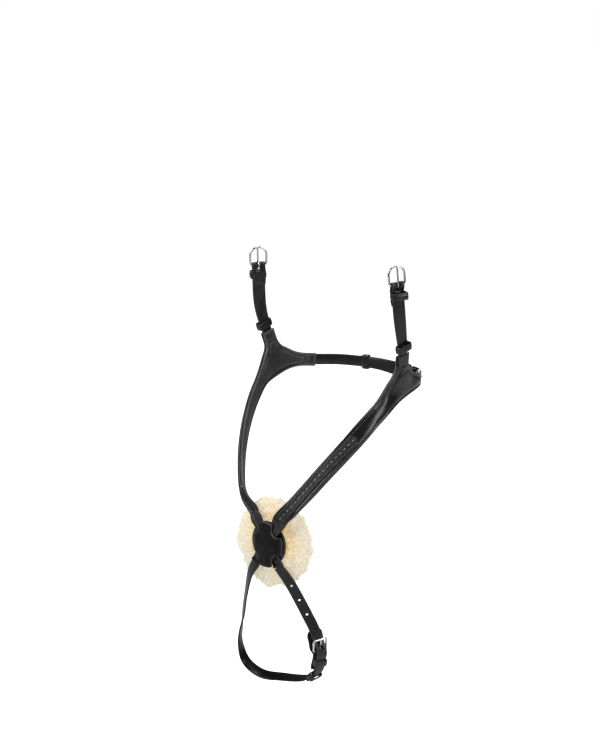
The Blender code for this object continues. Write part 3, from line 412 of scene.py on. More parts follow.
def wool_look():
    """Fleece: creamy white at the tips of its locks and warmer down at the hide. It glows in its own colour,
    painted light that fills the shade between its locks.
    """
    made, tree, shader = new_look("cream_fleece", (
        ("Emission Strength", 0.38), ("Roughness", 0.95), ("Sheen Weight", 0.35), ("Sheen Roughness", 0.5),
        ("Subsurface Weight", 0.3), ("Subsurface Radius", (4 * MM, 3 * MM, 2 * MM))))
    tip = add_node(tree, "ShaderNodeAttribute", attribute_name="tip")
    shift = add_node(tree, "ShaderNodeMapRange", (("To Min", -0.35), ("To Max", 0.35)))
    join(tree, grain(tree, 55, 3), "Fac", shift, "Value")
    reach = add_node(tree, "ShaderNodeMath", operation="ADD")
    join(tree, tip, "Fac", reach, 0)
    join(tree, shift, "Result", reach, 1)
    shades = add_node(tree, "ShaderNodeValToRGB")
    shades.color_ramp.elements.new(0.4)
    for stop, place, shade in zip(shades.color_ramp.elements, (0, 0.4, 0.9), WOOL_SHADES):
        stop.color = (*shade, 1)
        stop.position = place
    join(tree, reach, 0, shades, "Fac")
    join(tree, shades, "Color", shader, "Base Color")
    # Painted light: the fleece glows in its own colour to lift the shade in it.
    join(tree, shades, "Color", shader, "Emission Color")
    raise_surface(tree, grain(tree, 700, 4, 0.7), "Fac", shader, 0.6, 0.6 * MM)
    return made


def grey(level):
    return (level, level, level)


# Near black, painted as the shade in sewn grooves.
PAINTED_GROOVE_SHADE = grey(0.003)
WOOL_SHADES = ((0.77, 0.52, 0.23), (0.82, 0.68, 0.41), (0.82, 0.765, 0.64))
STRAP_PORES = (1300, 0.2, 150)
SOFT_PORES = (750, 0.8, 120)
STRAP_RELIEF = (0.24, 0.8 * MM)
SOFT_RELIEF = (0.35, 0.6 * MM)
hide_grain = leather_surface()
bridle = leather_look("black_bridle_leather", (0.004, 0.004, 0.0045), (0.016, 0.016, 0.017),
                      (0.07, 0.068, 0.066), (0.2, 0.34), STRAP_PORES, STRAP_RELIEF, 0.2)
# The cover's light edge colour paints a highlight line round its rim.
cover_hide = leather_look("polished_cover_leather", (0.001, 0.001, 0.0013), (0.004, 0.004, 0.0044),
                          (0.3, 0.29, 0.28), (0.2, 0.32), (1300, 0.45, 130), (0.3, 0.8 * MM), 0.06, 0.16)
thin_hide = leather_look("thin_strap_leather", (0.002, 0.002, 0.0025), (0.008, 0.008, 0.009),
                         grey(0.03), (0.24, 0.38), STRAP_PORES, STRAP_RELIEF, 0.08, 0.2)
# The lining's light edge colour is mostly painted highlight: light lines along its rolled rim and the raised
# panel's shoulder.
lining = leather_look("soft_lining_leather", (0.024, 0.024, 0.026), (0.048, 0.048, 0.05), grey(0.22),
                      (0.36, 0.52), SOFT_PORES, SOFT_RELIEF, 0)
padded_hide = leather_look("guard_leather", grey(0.003), (0.007, 0.007, 0.0075), grey(0.02),
                           (0.5, 0.66), SOFT_PORES, SOFT_RELIEF, 0)
pebbled = leather_look("fancy_band_leather", (0.005, 0.005, 0.0055), (0.026, 0.026, 0.028), grey(0.04),
                       (0.3, 0.5), (420, 1.4, 300), (0.9, 1.2 * MM), 0.1)
fleece_hide = leather_look("sheepskin_hide", (0.5, 0.4, 0.26), (0.66, 0.56, 0.4), (0.5, 0.38, 0.22),
                           (0.6, 0.8), (900, 0.6, 140), (0.4, 0.6 * MM), 0)
black_thread = thread_look("black_thread", grey(0.008), (0.05, 0.05, 0.052), 0.4)
grey_thread = thread_look("grey_thread", (0.05, 0.05, 0.052), grey(0.15), 0.45)
pale_thread = thread_look("pale_grey_thread", (0.14, 0.14, 0.142), grey(0.3), 0.5)
white_thread = thread_look("white_thread", (0.34, 0.34, 0.33), (0.6, 0.6, 0.58), 0.55)
steel = steel_look()
fleece = wool_look()


# Shaping

def blend(low, high, share):
    return low + (high - low) * share


def ease(share):
    share = min(max(share, 0), 1)
    return share * share * (3 - 2 * share)


def ramp(along, start, end):
    return ease((along - start) / (end - start))


def bump(here, middle, reach):
    """A smooth hump of height 1."""
    return math.exp(-(((here - middle) / reach) ** 2))


def round_rise(inset, reach):
    """How high a quarter circle stands at an inset from its foot, from 0 up to 1."""
    return math.sqrt(1 - (1 - min(inset / reach, 1)) ** 2)


def from_marks(marks, here, share_at=ease):
    """A value that goes from one (place, value) mark to the next."""
    if here <= marks[0][0]:
        return marks[0][1]
    for (low, start), (high, end) in zip(marks, marks[1:]):
        if here <= high:
            return blend(start, end, share_at((here - low) / (high - low)))
    return marks[-1][1]


class Route:
    """A smooth line through chosen marks, each a point and the direction that the strap faces there."""

    STEPS = 8
    SOFTENED = 2.2 * MM

    def __init__(self, marks):
        points = [Vector(mark[0]) for mark in marks]
        facings = [Vector(mark[1]).normalized() for mark in marks]
        self.points = []
        self.facings = []
        for number in range(len(marks) - 1):
            for step in range(self.STEPS + (number == len(marks) - 2)):
                share = step / self.STEPS
                self.points.append(self.through(points, number, share))
                self.facings.append(self.through(facings, number, share).normalized())
        self.lengths = [0.0]
        for point, following in zip(self.points, self.points[1:]):
            self.lengths.append(self.lengths[-1] + (following - point).length)
        self.length = self.lengths[-1]
        self.marks = self.lengths[:: self.STEPS]

    @staticmethod
    def through(values, number, share):
        """A Catmull-Rom curve, with the end spans carried on past the ends."""
        here = values[number]
        there = values[number + 1]
        before = values[number - 1] if number > 0 else here * 2 - there
        after = values[number + 2] if number + 2 < len(values) else there * 2 - here
        square = share * share
        cube = square * share
        return 0.5 * (
            here * 2
            + (there - before) * share
            + (before * 2 - here * 5 + there * 4 - after) * square
            + (here * 3 - before - there * 3 + after) * cube
        )

    def chord(self, along):
        last = len(self.points) - 2
        number = 0
        while number < last and self.lengths[number + 1] < along:
            number += 1
        span = self.lengths[number + 1] - self.lengths[number]
        share = (along - self.lengths[number]) / span
        point = blend(self.points[number], self.points[number + 1], share)
        held = min(max(share, 0), 1)
        return point, blend(self.facings[number], self.facings[number + 1], held)

    def frame(self, along):
        """Point, direction of travel, facing and side of the route at a length along it."""
        point, facing = self.chord(along)
        before, _ = self.chord(along - self.SOFTENED)
        after, _ = self.chord(along + self.SOFTENED)
        travel = (after - before).normalized()
        softened = blend(point, (before + after) / 2, 0.5)
        facing = (facing - travel * facing.dot(travel)).normalized()
        return softened, travel, facing, facing.cross(travel)


def lengths_between(start, end, step, fine=0.0):
    """Even lengths from start to end, with closer ones near the two ends where fine is given."""
    count = max(int(round((end - start) / step)), 1)
    lengths = [start + (end - start) * number / count for number in range(count + 1)]
    if fine:
        for inset in (0.25, 0.7, 1.3):
            lengths += [start + inset * fine, end - inset * fine]
    return sorted(lengths)


def finish_piece(name, shape, look, body, *stands_for):
    """Lets a piece, whose place is in its mesh, ride on its body. NODE_finished stands for that node."""
    made = mesh_object(name, shape)
    made.data.materials.append(look)
    made.data.shade_smooth()
    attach(made, body)
    if name.endswith("_finished"):
        stands_for = (name.removesuffix("_finished"), *stands_for)
    if stands_for:
        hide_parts(*stands_for)
    return made


def seal(shape, sides=0, reach=NEARLY):
    """Merges doubled points, fills holes of up to this many sides and turns the faces outwards."""
    bmesh.ops.remove_doubles(shape, verts=shape.verts, dist=reach)
    if sides:
        rims = [line for line in shape.edges if line.is_boundary]
        bmesh.ops.holes_fill(shape, edges=rims, sides=sides)
    bmesh.ops.recalc_face_normals(shape, faces=shape.faces)
    return shape


def skin(rings, marks=None, joined=False):
    """A closed skin through rings of points. marks gives each ring point's value of the edge attribute."""
    around = len(rings[0])
    along = len(rings) if joined else len(rings) - 1
    shape = bmesh.new()
    bmesh.ops.create_grid(shape, x_segments=along, y_segments=around, size=0.5)
    wear_and_highlight = shape.verts.layers.float.new("edge")
    for vertex in shape.verts:
        ring = round((vertex.co.x + 0.5) * along) % len(rings)
        spot = round((vertex.co.y + 0.5) * around) % around
        vertex.co = rings[ring][spot]
        if marks:
            vertex[wear_and_highlight] = marks[spot]
    return seal(shape, 0 if joined else around + 4)


def carve(made, cutters):
    """Cuts shapes out of a piece for good."""
    for cutter in cutters:
        cutting = made.modifiers.new("Cut", "BOOLEAN")
        cutting.operation = "DIFFERENCE"
        cutting.object = cutter
        cutting.solver = "EXACT"
    bpy.context.view_layer.update()
    ready = made.evaluated_get(bpy.context.evaluated_depsgraph_get())
    data = bpy.data.meshes.new_from_object(ready)
    made.modifiers.clear()
    made.data = data
    for cutter in cutters:
        bpy.data.objects.remove(cutter)


def placed(point, across, along, out):
    """A matrix whose X, Y and Z are these three directions, at a point."""
    turned = Matrix((across, along, out)).transposed().to_4x4()
    turned.translation = point
    return turned


def punch(place, lift, width, length):
    """An oval punch that stands square to the strap at a place of its route."""
    point, travel, facing, side = place
    shape = bmesh.new()
    half = width / 2
    bmesh.ops.create_cone(shape, cap_ends=True, segments=24, radius1=half, radius2=half, depth=16 * MM)
    for vertex in shape.verts:
        vertex.co.y += math.copysign((length - width) / 2, vertex.co.y)
    turned = placed(point + facing * lift, side, travel, facing)
    bmesh.ops.transform(shape, matrix=turned, verts=shape.verts)
    bmesh.ops.recalc_face_normals(shape, faces=shape.faces)
    return mesh_object("punch", shape)


# Straps

EDGE_PLACES = (0, 0.12, 0.35, 0.7, 1.1, 1.5, 1.9, 2.4, 3.2)
LOW_PLACES = (0.35, 1.1)
EDGE_SPAN = 4.2 * MM
CREASE_INSET = 1.9 * MM
CREASE_REACH = 0.38 * MM
WEAR_AND_HIGHLIGHT_REACH = 0.7


def strap_section(width, thickness, crown, crease):
    """A strap's section: burnished round edges, a creased line inside each, and a slight crown."""
    half = width / 2
    round_off = min(thickness / 2, half * 0.9)
    shrink = min(half / EDGE_SPAN, 1)
    places = [place * MM * shrink for place in EDGE_PLACES] + [half]
    top = []
    for inset in places:
        height = thickness / 2 + round_rise(inset, round_off) * thickness / 2
        height -= crease * bump(inset, CREASE_INSET * shrink, CREASE_REACH)
        height += crown * ease((inset - 2.2 * MM * shrink) / max(half - 2.2 * MM * shrink, NEARLY))
        top.append((inset, height))
    low = [(inset, thickness / 2 - round_rise(inset, round_off) * thickness / 2)
           for inset in (*(place * MM * shrink for place in LOW_PLACES), half)]
    outline = [(half - inset, height) for inset, height in top]
    outline += [(-half + inset, height) for inset, height in top[-2::-1]]
    outline += [(-half + inset, height) for inset, height in low]
    outline += [(half - inset, height) for inset, height in low[-2::-1]]
    return outline


def edge_marks():
    """How much of the lighter edge colour each point of a strap's section gets, partly wear and partly
    painted highlight: most at its two edges.
    """
    inner = [math.exp(-place / WEAR_AND_HIGHLIGHT_REACH) for place in EDGE_PLACES] + [0.0]
    return inner + inner[-2::-1] + [0.6, 0.2, 0.0] + [0.2, 0.6]


def round_ends(rings, reach):
    """Draws the first and last rings in, so that a cut end has a soft edge."""
    done = []
    for ring, inner in ((rings[0], rings[1]), (rings[-1], rings[-2])):
        middle = sum(ring, Vector()) / len(ring)
        away = (middle - sum(inner, Vector()) / len(inner)).normalized()
        done.append([blend(spot, middle, 0.03) + away * (reach * 0.6) for spot in ring])
        done.append([blend(spot, middle, 0.09) + away * reach for spot in ring])
    return [done[1], done[0]] + rings + [done[2], done[3]]


def strap_piece(name, rows, thickness, look, body, crown=CROWN, crease=CREASE, stands_for=()):
    """A strap from rows of (point on its inner face, side, width, direction of its thickness)."""
    rings = []
    for point, side, width, out in rows:
        outline = strap_section(width, thickness, crown, crease)
        rings.append([point + side * across + out * height for across, height in outline])
    return finish_piece(name, skin(round_ends(rings, 0.25 * MM), edge_marks()), look, body, *stands_for)


def layer_rows(route, lengths, lift, width, turned=1):
    rows = []
    for along in lengths:
        point, _, facing, side = route.frame(along)
        here_lift = lift(along) if callable(lift) else lift
        here_width = width(along) if callable(width) else width
        rows.append((point + facing * here_lift, side, here_width, facing * turned))
    return rows


def round_end(width, tip, reach):
    """A width that closes to a rounded end at the length tip, over reach."""
    return lambda along: width * max(round_rise(abs(tip - along), reach), 0.16)


FOLD_RISE = ((1.5 * MM, 1), (4 * MM, 0.75), (7.5 * MM, 0.1), (11.5 * MM, 0), (25 * MM, 0))
UNDER_KEEPER = STRAP_BACK - KEEPER_THICKNESS - 3 * CLEARANCE
FOLD_BACK = ((0, -FOLD_LIFT), (2 * MM, -FOLD_LIFT), (7 * MM, UNDER_KEEPER), (19 * MM, UNDER_KEEPER),
             (FOLD_RETURN, STRAP_BACK - CLEARANCE))
TONGUE_SLOT = (TONGUE_WIRE + 1.2 * MM, 15 * MM)


def folded_strap(node, route, start, bar, width, body, look=bridle):
    """A strap from start to a fold round the pivot bar at the length bar, and back behind it."""
    rows = layer_rows(route, lengths_between(start, bar - FOLD_RETURN, 2.5 * MM), STRAP_BACK, width)
    for number in range(1, 17):
        back = blend(FOLD_RETURN, 1.5 * MM, number / 16)
        lift = blend(STRAP_BACK, FOLD_LIFT, from_marks(FOLD_RISE, back))
        rows += layer_rows(route, [bar - back], lift, width)
    point, travel, facing, side = place = route.frame(bar)
    for step in range(19):
        turn = math.radians(10 * step)
        spoke = facing * math.cos(turn) + travel * math.sin(turn)
        rows.append((point + spoke * FOLD_LIFT, side, width, spoke))
    for number in range(1, 15):
        back = FOLD_RETURN * number / 14
        rows += layer_rows(route, [bar - back], from_marks(FOLD_BACK, back), width, turned=-1)
    strap = strap_piece(f"{node}_finished", rows, STRAP_THICKNESS, look, body)
    carve(strap, [punch(place, 0, *TONGUE_SLOT)])


# A billet's inner face: under the frame's far bar, over the fold and down onto the strap
OVER_FOLD = FOLD_LIFT + STRAP_THICKNESS + CLEARANCE
BILLET_LIFTS = (
    (-11 * MM, STRAP_THICKNESS / 2 + 1.6 * CLEARANCE), (-3 * MM, OVER_FOLD), (3 * MM, OVER_FOLD),
    (8 * MM, 1.5 * MM), (12 * MM, -0.3 * MM), (16 * MM, -0.8 * MM), (30 * MM, STRAP_BACK),
)
TIP_STEPS = (0, 0.15, 0.4, 0.8, 1.4, 2.2, 3.2, 4.4, 5.8, 7.2)


def billet_piece(node, route, bar, tip, end, width, spares, body):
    """A punched billet, from its rounded tip to its sewn end, with spare holes at pitches from the bar."""

    def lift(along):
        return from_marks(BILLET_LIFTS, along - bar)

    lengths = [tip + step * MM for step in TIP_STEPS] + lengths_between(tip + 9 * MM, end, 2.2 * MM)
    rows = layer_rows(route, lengths, lift, round_end(width, tip, 8 * MM))
    made = strap_piece(f"{node}_finished", rows, STRAP_THICKNESS, bridle, body)
    cutters = []
    for pitch in (0, *spares):
        along = bar + TONGUE_HOLE_BACK + HOLE_PITCH * pitch
        cutters.append(punch(route.frame(along), lift(along), *(SPARE_HOLE if pitch else TONGUE_HOLE)))
    carve(made, cutters)


# Keepers and runners

LOOP_PLACES = (-0.5, -0.47, -0.4, -0.31, -0.26, -0.21, -0.1, 0, 0.1, 0.21, 0.26, 0.31, 0.4, 0.47, 0.5)
LOOP_CORNER = 1.0 * MM


def leather_loop(node, place, width, low, high, length, body):
    """A keeper or runner: a band closed round the strap, creased along both rims and domed between."""
    point, travel, facing, side = place
    rings = []
    for across, out, first in (
        (width / 2 - LOOP_CORNER, high - LOOP_CORNER, 0),
        (-width / 2 + LOOP_CORNER, high - LOOP_CORNER, 90),
        (-width / 2 + LOOP_CORNER, low + LOOP_CORNER, 180),
        (width / 2 - LOOP_CORNER, low + LOOP_CORNER, 270),
    ):
        for step in range(7):
            turn = math.radians(first + 15 * step)
            away = side * math.cos(turn) + facing * math.sin(turn)
            base = point + side * across + facing * out + away * LOOP_CORNER
            ring = []
            for share in LOOP_PLACES:
                inset = (0.5 - abs(share)) * length
                height = KEEPER_THICKNESS * (0.5 + 0.5 * round_rise(inset, 0.55 * MM))
                height += 0.22 * MM * ease(inset / (2.4 * MM))
                height -= 0.3 * MM * bump(inset, 0.24 * length, 0.05 * length)
                ring.append(base + travel * (share * length) + away * height)
            rings.append(ring + [base + travel * (share * length) for share in (0.44, 0, -0.44)])
    # The marks lighten the loop's rims: partly wear, partly painted highlight.
    marks = [math.exp(-(0.5 - abs(share)) * length / (0.6 * MM)) for share in LOOP_PLACES] + [0, 0, 0]
    finish_piece(f"{node}_finished", skin(rings, marks, joined=True), bridle, body)


# Steel

def wire_piece(name, spots, sizes, body, node, closed=False):
    """Round wire through spots, with its radius at each spot."""
    count = len(spots)
    rings = []
    rest = None
    turns = [math.tau * step / 16 for step in range(16)]
    for number, (spot, size) in enumerate(zip(spots, sizes)):
        before = spots[number - 1] if number or closed else spot
        after = spots[(number + 1) % count] if number + 1 < count or closed else spot
        travel = (after - before).normalized()
        if rest is None:
            rest = travel.orthogonal().normalized()
        rest = (rest - travel * rest.dot(travel)).normalized()
        other = travel.cross(rest)
        rings.append([spot + (rest * math.cos(turn) + other * math.sin(turn)) * size for turn in turns])
    finish_piece(name, skin(rings, joined=closed), steel, body, node)


def buckle_frame(prefix, place, width, length, round_top):
    """A buckle frame bent from one wire, its pivot bar at the place and its far bar length away."""
    point, travel, _, side = place
    half = width / 2
    corner = WIRE * 1.1
    arch = half if round_top else corner
    spots = []
    for centre, radius, first in (
        ((half - corner, corner), corner, -90),
        ((half - arch, length - arch), arch, 0),
        ((-half + arch, length - arch), arch, 90),
        ((-half + corner, corner), corner, 180),
    ):
        steps = 14 if radius == half else 8
        for step in range(steps + 1):
            turn = math.radians(first + 90 * step / steps)
            spots.append((centre[0] + radius * math.cos(turn), centre[1] + radius * math.sin(turn)))
    kept = [spots[0]]
    for spot in spots[1:]:
        if min(math.dist(spot, kept[-1]), math.dist(spot, kept[0])) > 0.2 * MM:
            kept.append(spot)
    places = [point + side * across + travel * along for across, along in kept]
    wire_piece(f"{prefix}_frame_wire", places, [WIRE / 2] * len(places), f"{prefix}_frame",
               f"{prefix}_buckle_frame", closed=True)


def buckle_tongue(prefix, place, path):
    """A tongue: a ring round the pivot bar, joined to a shaft that thins towards its tip."""
    point, travel, facing, _ = place
    spots = []
    for step in range(25):
        turn = math.radians(264 - 11 * step)
        out = TONGUE_LIFT * math.cos(turn)
        back = TONGUE_LIFT * math.sin(turn)
        spots.append(point + facing * out - travel * back)
    last = spots[-1]
    for up, out in path:
        target = point + travel * up + facing * out
        steps = max(int((target - last).length / (1.5 * MM)), 1)
        spots += [blend(last, target, step / steps) for step in range(1, steps + 1)]
        last = target
    sizes = [TONGUE_WIRE / 2] * len(spots)
    for number, size in enumerate((0.6, 0.82, 0.92, 0.97)):
        sizes[-1 - number] *= size
    wire_piece(f"{prefix}_tongue_wire", spots, sizes, f"{prefix}_tongue", f"{prefix}_buckle_tongue")


# Thread

def stitch_row(shape, spots, pitch, length, radius):
    """Stitches along spots of (point, out), every pitch, each a short fat grain of thread."""
    walked = 0.0
    target = pitch / 2
    size = Matrix.Diagonal((length / 2, radius, radius, 1))
    turned = Matrix.Rotation(math.pi / 2, 4, "Y")
    for (point, out), (ahead, out_ahead) in zip(spots, spots[1:]):
        span = (ahead - point).length
        if span < NEARLY:
            continue
        travel = (ahead - point) / span
        while target <= walked + span:
            share = (target - walked) / span
            away = blend(out, out_ahead, share)
            away = (away - travel * away.dot(travel)).normalized()
            place = placed(blend(point, ahead, share), travel, away.cross(travel), away)
            bmesh.ops.create_uvsphere(shape, u_segments=6, v_segments=4, radius=1,
                                      matrix=place @ size @ turned)
            target += pitch
        walked += span


# Routes round the head

def plate_frame(side_sign):
    middle = Vector((side_sign * PLATE_SPREAD / 2, PLATE_SETBACK, -PLATE_DROP))
    return middle, Vector((side_sign, 0, 0))


def plate_spot(side_sign, corner):
    middle, _ = plate_frame(side_sign)
    return middle + Vector((0, corner[0], corner[1]))


def head_route(side_sign):
    """From the plate's middle up to the pivot bar of the head buckle."""
    middle, out = plate_frame(side_sign)
    bar = Vector((side_sign * HEAD_SPREAD / 2, 0, 0))
    turns = HEAD_TURNS[side_sign]
    marks = [(middle, outward(turns[0]))]
    for share, bulge, turn in zip((0.2, 0.36, 0.54, 0.72), HEAD_BULGE, turns[1:]):
        spot = blend(middle, bar, share) + out * bulge[0] + Vector((0, bulge[1], 0))
        marks.append((spot, outward(turn)))
    marks.append((bar, outward(turns[5])))
    return Route(marks)


def pulled_curve(start, first, second, end, share):
    """A Bezier curve from start to end, pulled towards two handles."""
    rest = 1 - share
    return (
        start * rest**3
        + first * (3 * rest * rest * share)
        + second * (3 * rest * share * share)
        + end * share**3
    )


def nose_route(side_sign):
    """From the plate's middle forward and down to the crossing, and on to the far lower mouth."""
    middle, out = plate_frame(side_sign)
    depth = 0 if side_sign > 0 else LAYER_STEP
    crossing = Vector((0, -CROSSING_REACH + depth, -CROSSING_DROP))
    mirror = Vector((side_sign, 1, 1))
    leave = middle + Vector(NOSE_LEAVE) * mirror
    arrive = crossing + Vector(NOSE_ARRIVE[side_sign]) * mirror
    marks = [(middle, out)]
    for share, facing in zip((0.14, 0.28, 0.42, 0.56, 0.7), NOSE_FACINGS[side_sign]):
        marks.append((pulled_curve(middle, leave, arrive, crossing, share), outward(*facing)))
    mouth = Vector((side_sign * MOUTH_ACROSS, 0, MOUTH_DROP))
    ahead = crossing + mouth * 1.4 + Vector((0, 0.8 * MM, 0))
    marks.append((ahead, outward(*MOUTH_AHEAD_FACINGS[side_sign])))
    marks += [(crossing + mouth * share, outward(0)) for share in (1, 0, -1)]
    return Route(marks)


def jaw_route(side_sign):
    """From the plate's middle round behind the jaw to the other plate."""
    halves = []
    for sign in (side_sign, -side_sign):
        middle, _ = plate_frame(sign)
        half = [(middle, outward(90 * sign))]
        for across, back, turn in JAW_MARKS:
            spot = Vector((middle.x * across, blend(PLATE_SETBACK, JAW_SETBACK, back), 0))
            spot.z = -blend(PLATE_DROP, JAW_DROP, min(back * 1.4, 1))
            half.append((spot, outward(turn * sign)))
        halves.append(half)
    behind = (Vector((0, JAW_SETBACK, -JAW_DROP)), outward(180))
    return Route(halves[0] + [behind] + halves[1][::-1])


def chin_route():
    """The chin loop's line, from the off mouth under the chin to the near mouth."""
    top = -CROSSING_DROP - MOUTH_DROP
    halves = []
    for sign in (-1, 1):
        reach = -CROSSING_REACH + (-LEATHER_LIFT - LEATHER_THICKNESS / 2 + (LAYER_STEP if sign > 0 else 0))
        half = [(Vector((sign * (MOUTH_ACROSS + 0.6 * MM), reach, top - 1 * MM)), outward(10 * sign))]
        for (across, drop, back), facing in zip(CHIN_MARKS[sign], CHIN_FACINGS[sign]):
            spot = Vector((
                sign * across * CHIN_SPREAD / 2,
                blend(reach, -CHIN_REACH, back),
                blend(top, -CHIN_DROP, drop),
            ))
            half.append((spot, Vector(facing)))
        halves.append(half)
    bottom = (Vector((0, -CHIN_REACH + 3 * MM, blend(top, -CHIN_DROP, CHIN_BOTTOM))), Vector(CHIN_UNDER))
    return Route(halves[0] + [bottom] + halves[1][::-1])


# Cheeks. An arm is its route, corners, where its own width is reached, width, end and tuck

SEAM_PLACES = (0, 0.12, 0.35, 0.75, 1.2, 1.6, 2.0, 2.5, 3.0, 3.4, 3.8, 4.3, 5.0, 5.8, 6.8)
PLATE_SHARES = (0, 0.16, 0.32, 0.46, 0.57, 0.66, 0.73, 0.79, 0.84, 0.88, 0.915, 0.945, 0.97, 0.985, 0.995)


def cheek_arms(side_sign, lining_layer):
    nose = nose_route(side_sign)
    mouth = nose.marks[-2] - UPPER_MOUTH
    nose_end = mouth - LINING_SHORT if lining_layer else nose.length
    closing = round_end(1, nose_end + 0.5 * MM, 16 * MM)

    def wide(along):
        return blend(NOSE_STRAP_WIDTH, CROSSING_STRAP_WIDTH, ramp(along, mouth - 12 * MM, mouth + 6 * MM))

    def behind_nose(along):
        return (wide(along) - 4 * MM * ramp(along, nose_end - 60 * MM, nose_end - 15 * MM)) * closing(along)

    held = TUCK + CLEARANCE
    return (
        (head_route(side_sign), (CORNER_FRONT, CORNER_REAR), UP_ARM - held,
         lambda along: HEAD_STRAP_WIDTH + 2 * MM, UP_ARM, TUCK),
        (jaw_route(side_sign), (CORNER_REAR, CORNER_LOW), REAR_ARM - held,
         lambda along: JAW_STRAP_WIDTH + 1 * MM, REAR_ARM, TUCK),
        (nose, (CORNER_LOW, CORNER_FRONT), NOSE_FLARE, behind_nose if lining_layer else wide, nose_end, 0),
    )


def edge_ends(side_sign, arm):
    route, corners, reach, width, _, _ = arm
    middle, _ = plate_frame(side_sign)
    across = route.frame(0)[3]
    point, _, _, side = route.frame(reach)
    ends = {}
    for corner in corners:
        away = (plate_spot(side_sign, corner) - middle).dot(across)
        ends[corner] = point + side * math.copysign(width(reach) / 2, away)
    return ends


def edge_curve(start, leave, end, arrive, share):
    reach = (end - start).length
    first = start + leave * (reach * CORNER_PULL)
    second = end - arrive * (reach * ARM_PULL)
    return pulled_curve(start, first, second, end, share)


def arm_rows(side_sign, arm, others, margin):
    """Rows of (low edge, high edge, out, length left to the end), from the plate's corners outwards."""
    route, _, reach, width, end, _ = arm
    middle, out = plate_frame(side_sign)
    across = route.frame(0)[3]
    _, travel, far_facing, _ = route.frame(reach)
    edges = []
    for corner, edge_end in edge_ends(side_sign, arm).items():
        other_end = next(ends[corner] for ends in others if corner in ends)
        edges.append((plate_spot(side_sign, corner), (edge_end - other_end).normalized(), edge_end))
    edges.sort(key=lambda edge: (edge[0] - middle).dot(across))
    centre = plate_spot(side_sign, PLATE_CENTRE)
    low, high = (spot + (spot - centre).normalized() * (margin * 1.2) for spot, _, _ in edges)
    rows = [(low, high, out, end)]
    for step in range(1, FLARE_STEPS):
        share = step / FLARE_STEPS
        low, high = (edge_curve(spot, leave, edge_end, travel, share) for spot, leave, edge_end in edges)
        sideways = (high - low).normalized() * margin
        raised = blend(out, far_facing, ease(share)).normalized()
        rows.append((low - sideways, high + sideways, raised, end - reach * share))
    for along in lengths_between(reach, end, 2.6 * MM, 1 * MM) if end - reach > 4 * MM else [reach, end]:
        point, _, facing, side = route.frame(along)
        spread = side * (width(along) / 2 + margin)
        rows.append((point - spread, point + spread, facing, end - along))
    return rows


def seam_shares(width):
    """Where the lines of a cheek's mesh lie across it: close together near both edges."""
    half = width / 2
    shrink = min(half * 0.86 / (SEAM_PLACES[-1] * MM), 1)
    insets = [place * MM * shrink for place in SEAM_PLACES]
    insets += [blend(insets[-1], half, share) for share in (0.35, 0.7, 1)]
    shares = [inset / width for inset in insets]
    return shares + [1 - share for share in shares[-2::-1]]


def plate_swell(side_sign, all_rows):
    """How far out the plate lies at a point, so that it runs smoothly into its three arms."""
    middle, out = plate_frame(side_sign)
    spots = [spot for rows in all_rows for row in rows[:FLARE_STEPS] for spot in row[:2]]
    places = [(spot.y, spot.z, (spot - middle).dot(out)) for spot in spots]

    def swell(point):
        whole = 0.0
        shared = 0.0
        for along, rise, height in places:
            weight = ((point.y - along) ** 2 + (point.z - rise) ** 2 + (0.5 * MM) ** 2) ** -1.6
            whole += weight
            shared += weight * height
        return shared / whole - (point - middle).dot(out)

    return swell


def cheek_surface(sheet, side_sign, all_rows, tucks, near_edge, lift):
    """One face of a cheek. lift gives its height from the distance to the edge and to the panel's end."""
    wear_and_highlight = sheet.verts.layers.float["edge"]
    groove_shade = sheet.verts.layers.float["groove"]
    centre = plate_spot(side_sign, PLATE_CENTRE)
    _, plate_out = plate_frame(side_sign)
    swell = plate_swell(side_sign, all_rows)
    for rows, tuck in zip(all_rows, tucks):
        first_low, first_high, _, left = rows[0]
        first_shares = seam_shares((first_high - first_low).length)
        lines = []
        for share in PLATE_SHARES:
            low = blend(centre, first_low, share)
            high = blend(centre, first_high, share)
            lines.append((low, high, plate_out, left, first_shares, 1))
        for number, (low, high, out, left) in enumerate(rows):
            joined = 1 - ease(number / (FLARE_STEPS * 0.6))
            lines.append((low, high, out, left, seam_shares((high - low).length), joined))
        along = len(lines) - 1
        across = len(first_shares) - 1
        made = bmesh.ops.create_grid(sheet, x_segments=along, y_segments=across, size=0.5)
        for vertex in made["verts"]:
            low, high, out, left, shares, joined = lines[round((vertex.co.x + 0.5) * along)]
            base = blend(low, high, shares[round((vertex.co.y + 0.5) * across)])
            inset = min(near_edge.find(base)[2], left)
            if inset < 0.03 * MM:
                inset = 0
            elif joined:
                base = base + plate_out * (swell(base) * joined)
            panel = min(inset, left - tuck) if tuck else inset
            vertex.co = base + out * lift(inset, panel)
            vertex[wear_and_highlight] = math.exp(-inset / (0.8 * MM))
            # Painted highlight: light lines along the lining's rolled rim and along the raised panel's
            # shoulder.
            if lift is lining_top:
                wear_and_highlight_mask = bump(panel, RIM + 1.7 * MM, 0.6 * MM) + 0.4 * bump(inset, RIM * 0.45, 1.4 * MM)
                vertex[wear_and_highlight] = min(math.exp(-inset / (0.8 * MM)) + wear_and_highlight_mask, 1)
                # Painted shade in the lining's sewn groove. Beyond the plate, the lining of the nose arm is
                # also taken halfway to that near black.
                vertex[groove_shade] = max(bump(inset, RIM, 0.7 * MM), 0 if tuck else 0.5 * (1 - joined))


def edge_finder(all_rows):
    """A tree of points along every edge of a cheek."""
    spots = []
    for rows in all_rows:
        for (low, high, _, _), (next_low, next_high, _, _) in zip(rows, rows[1:]):
            for step in range(8):
                spots += [blend(low, next_low, step / 8), blend(high, next_high, step / 8)]
        spots += [rows[-1][0], rows[-1][1]]
    return spot_tree(spots)


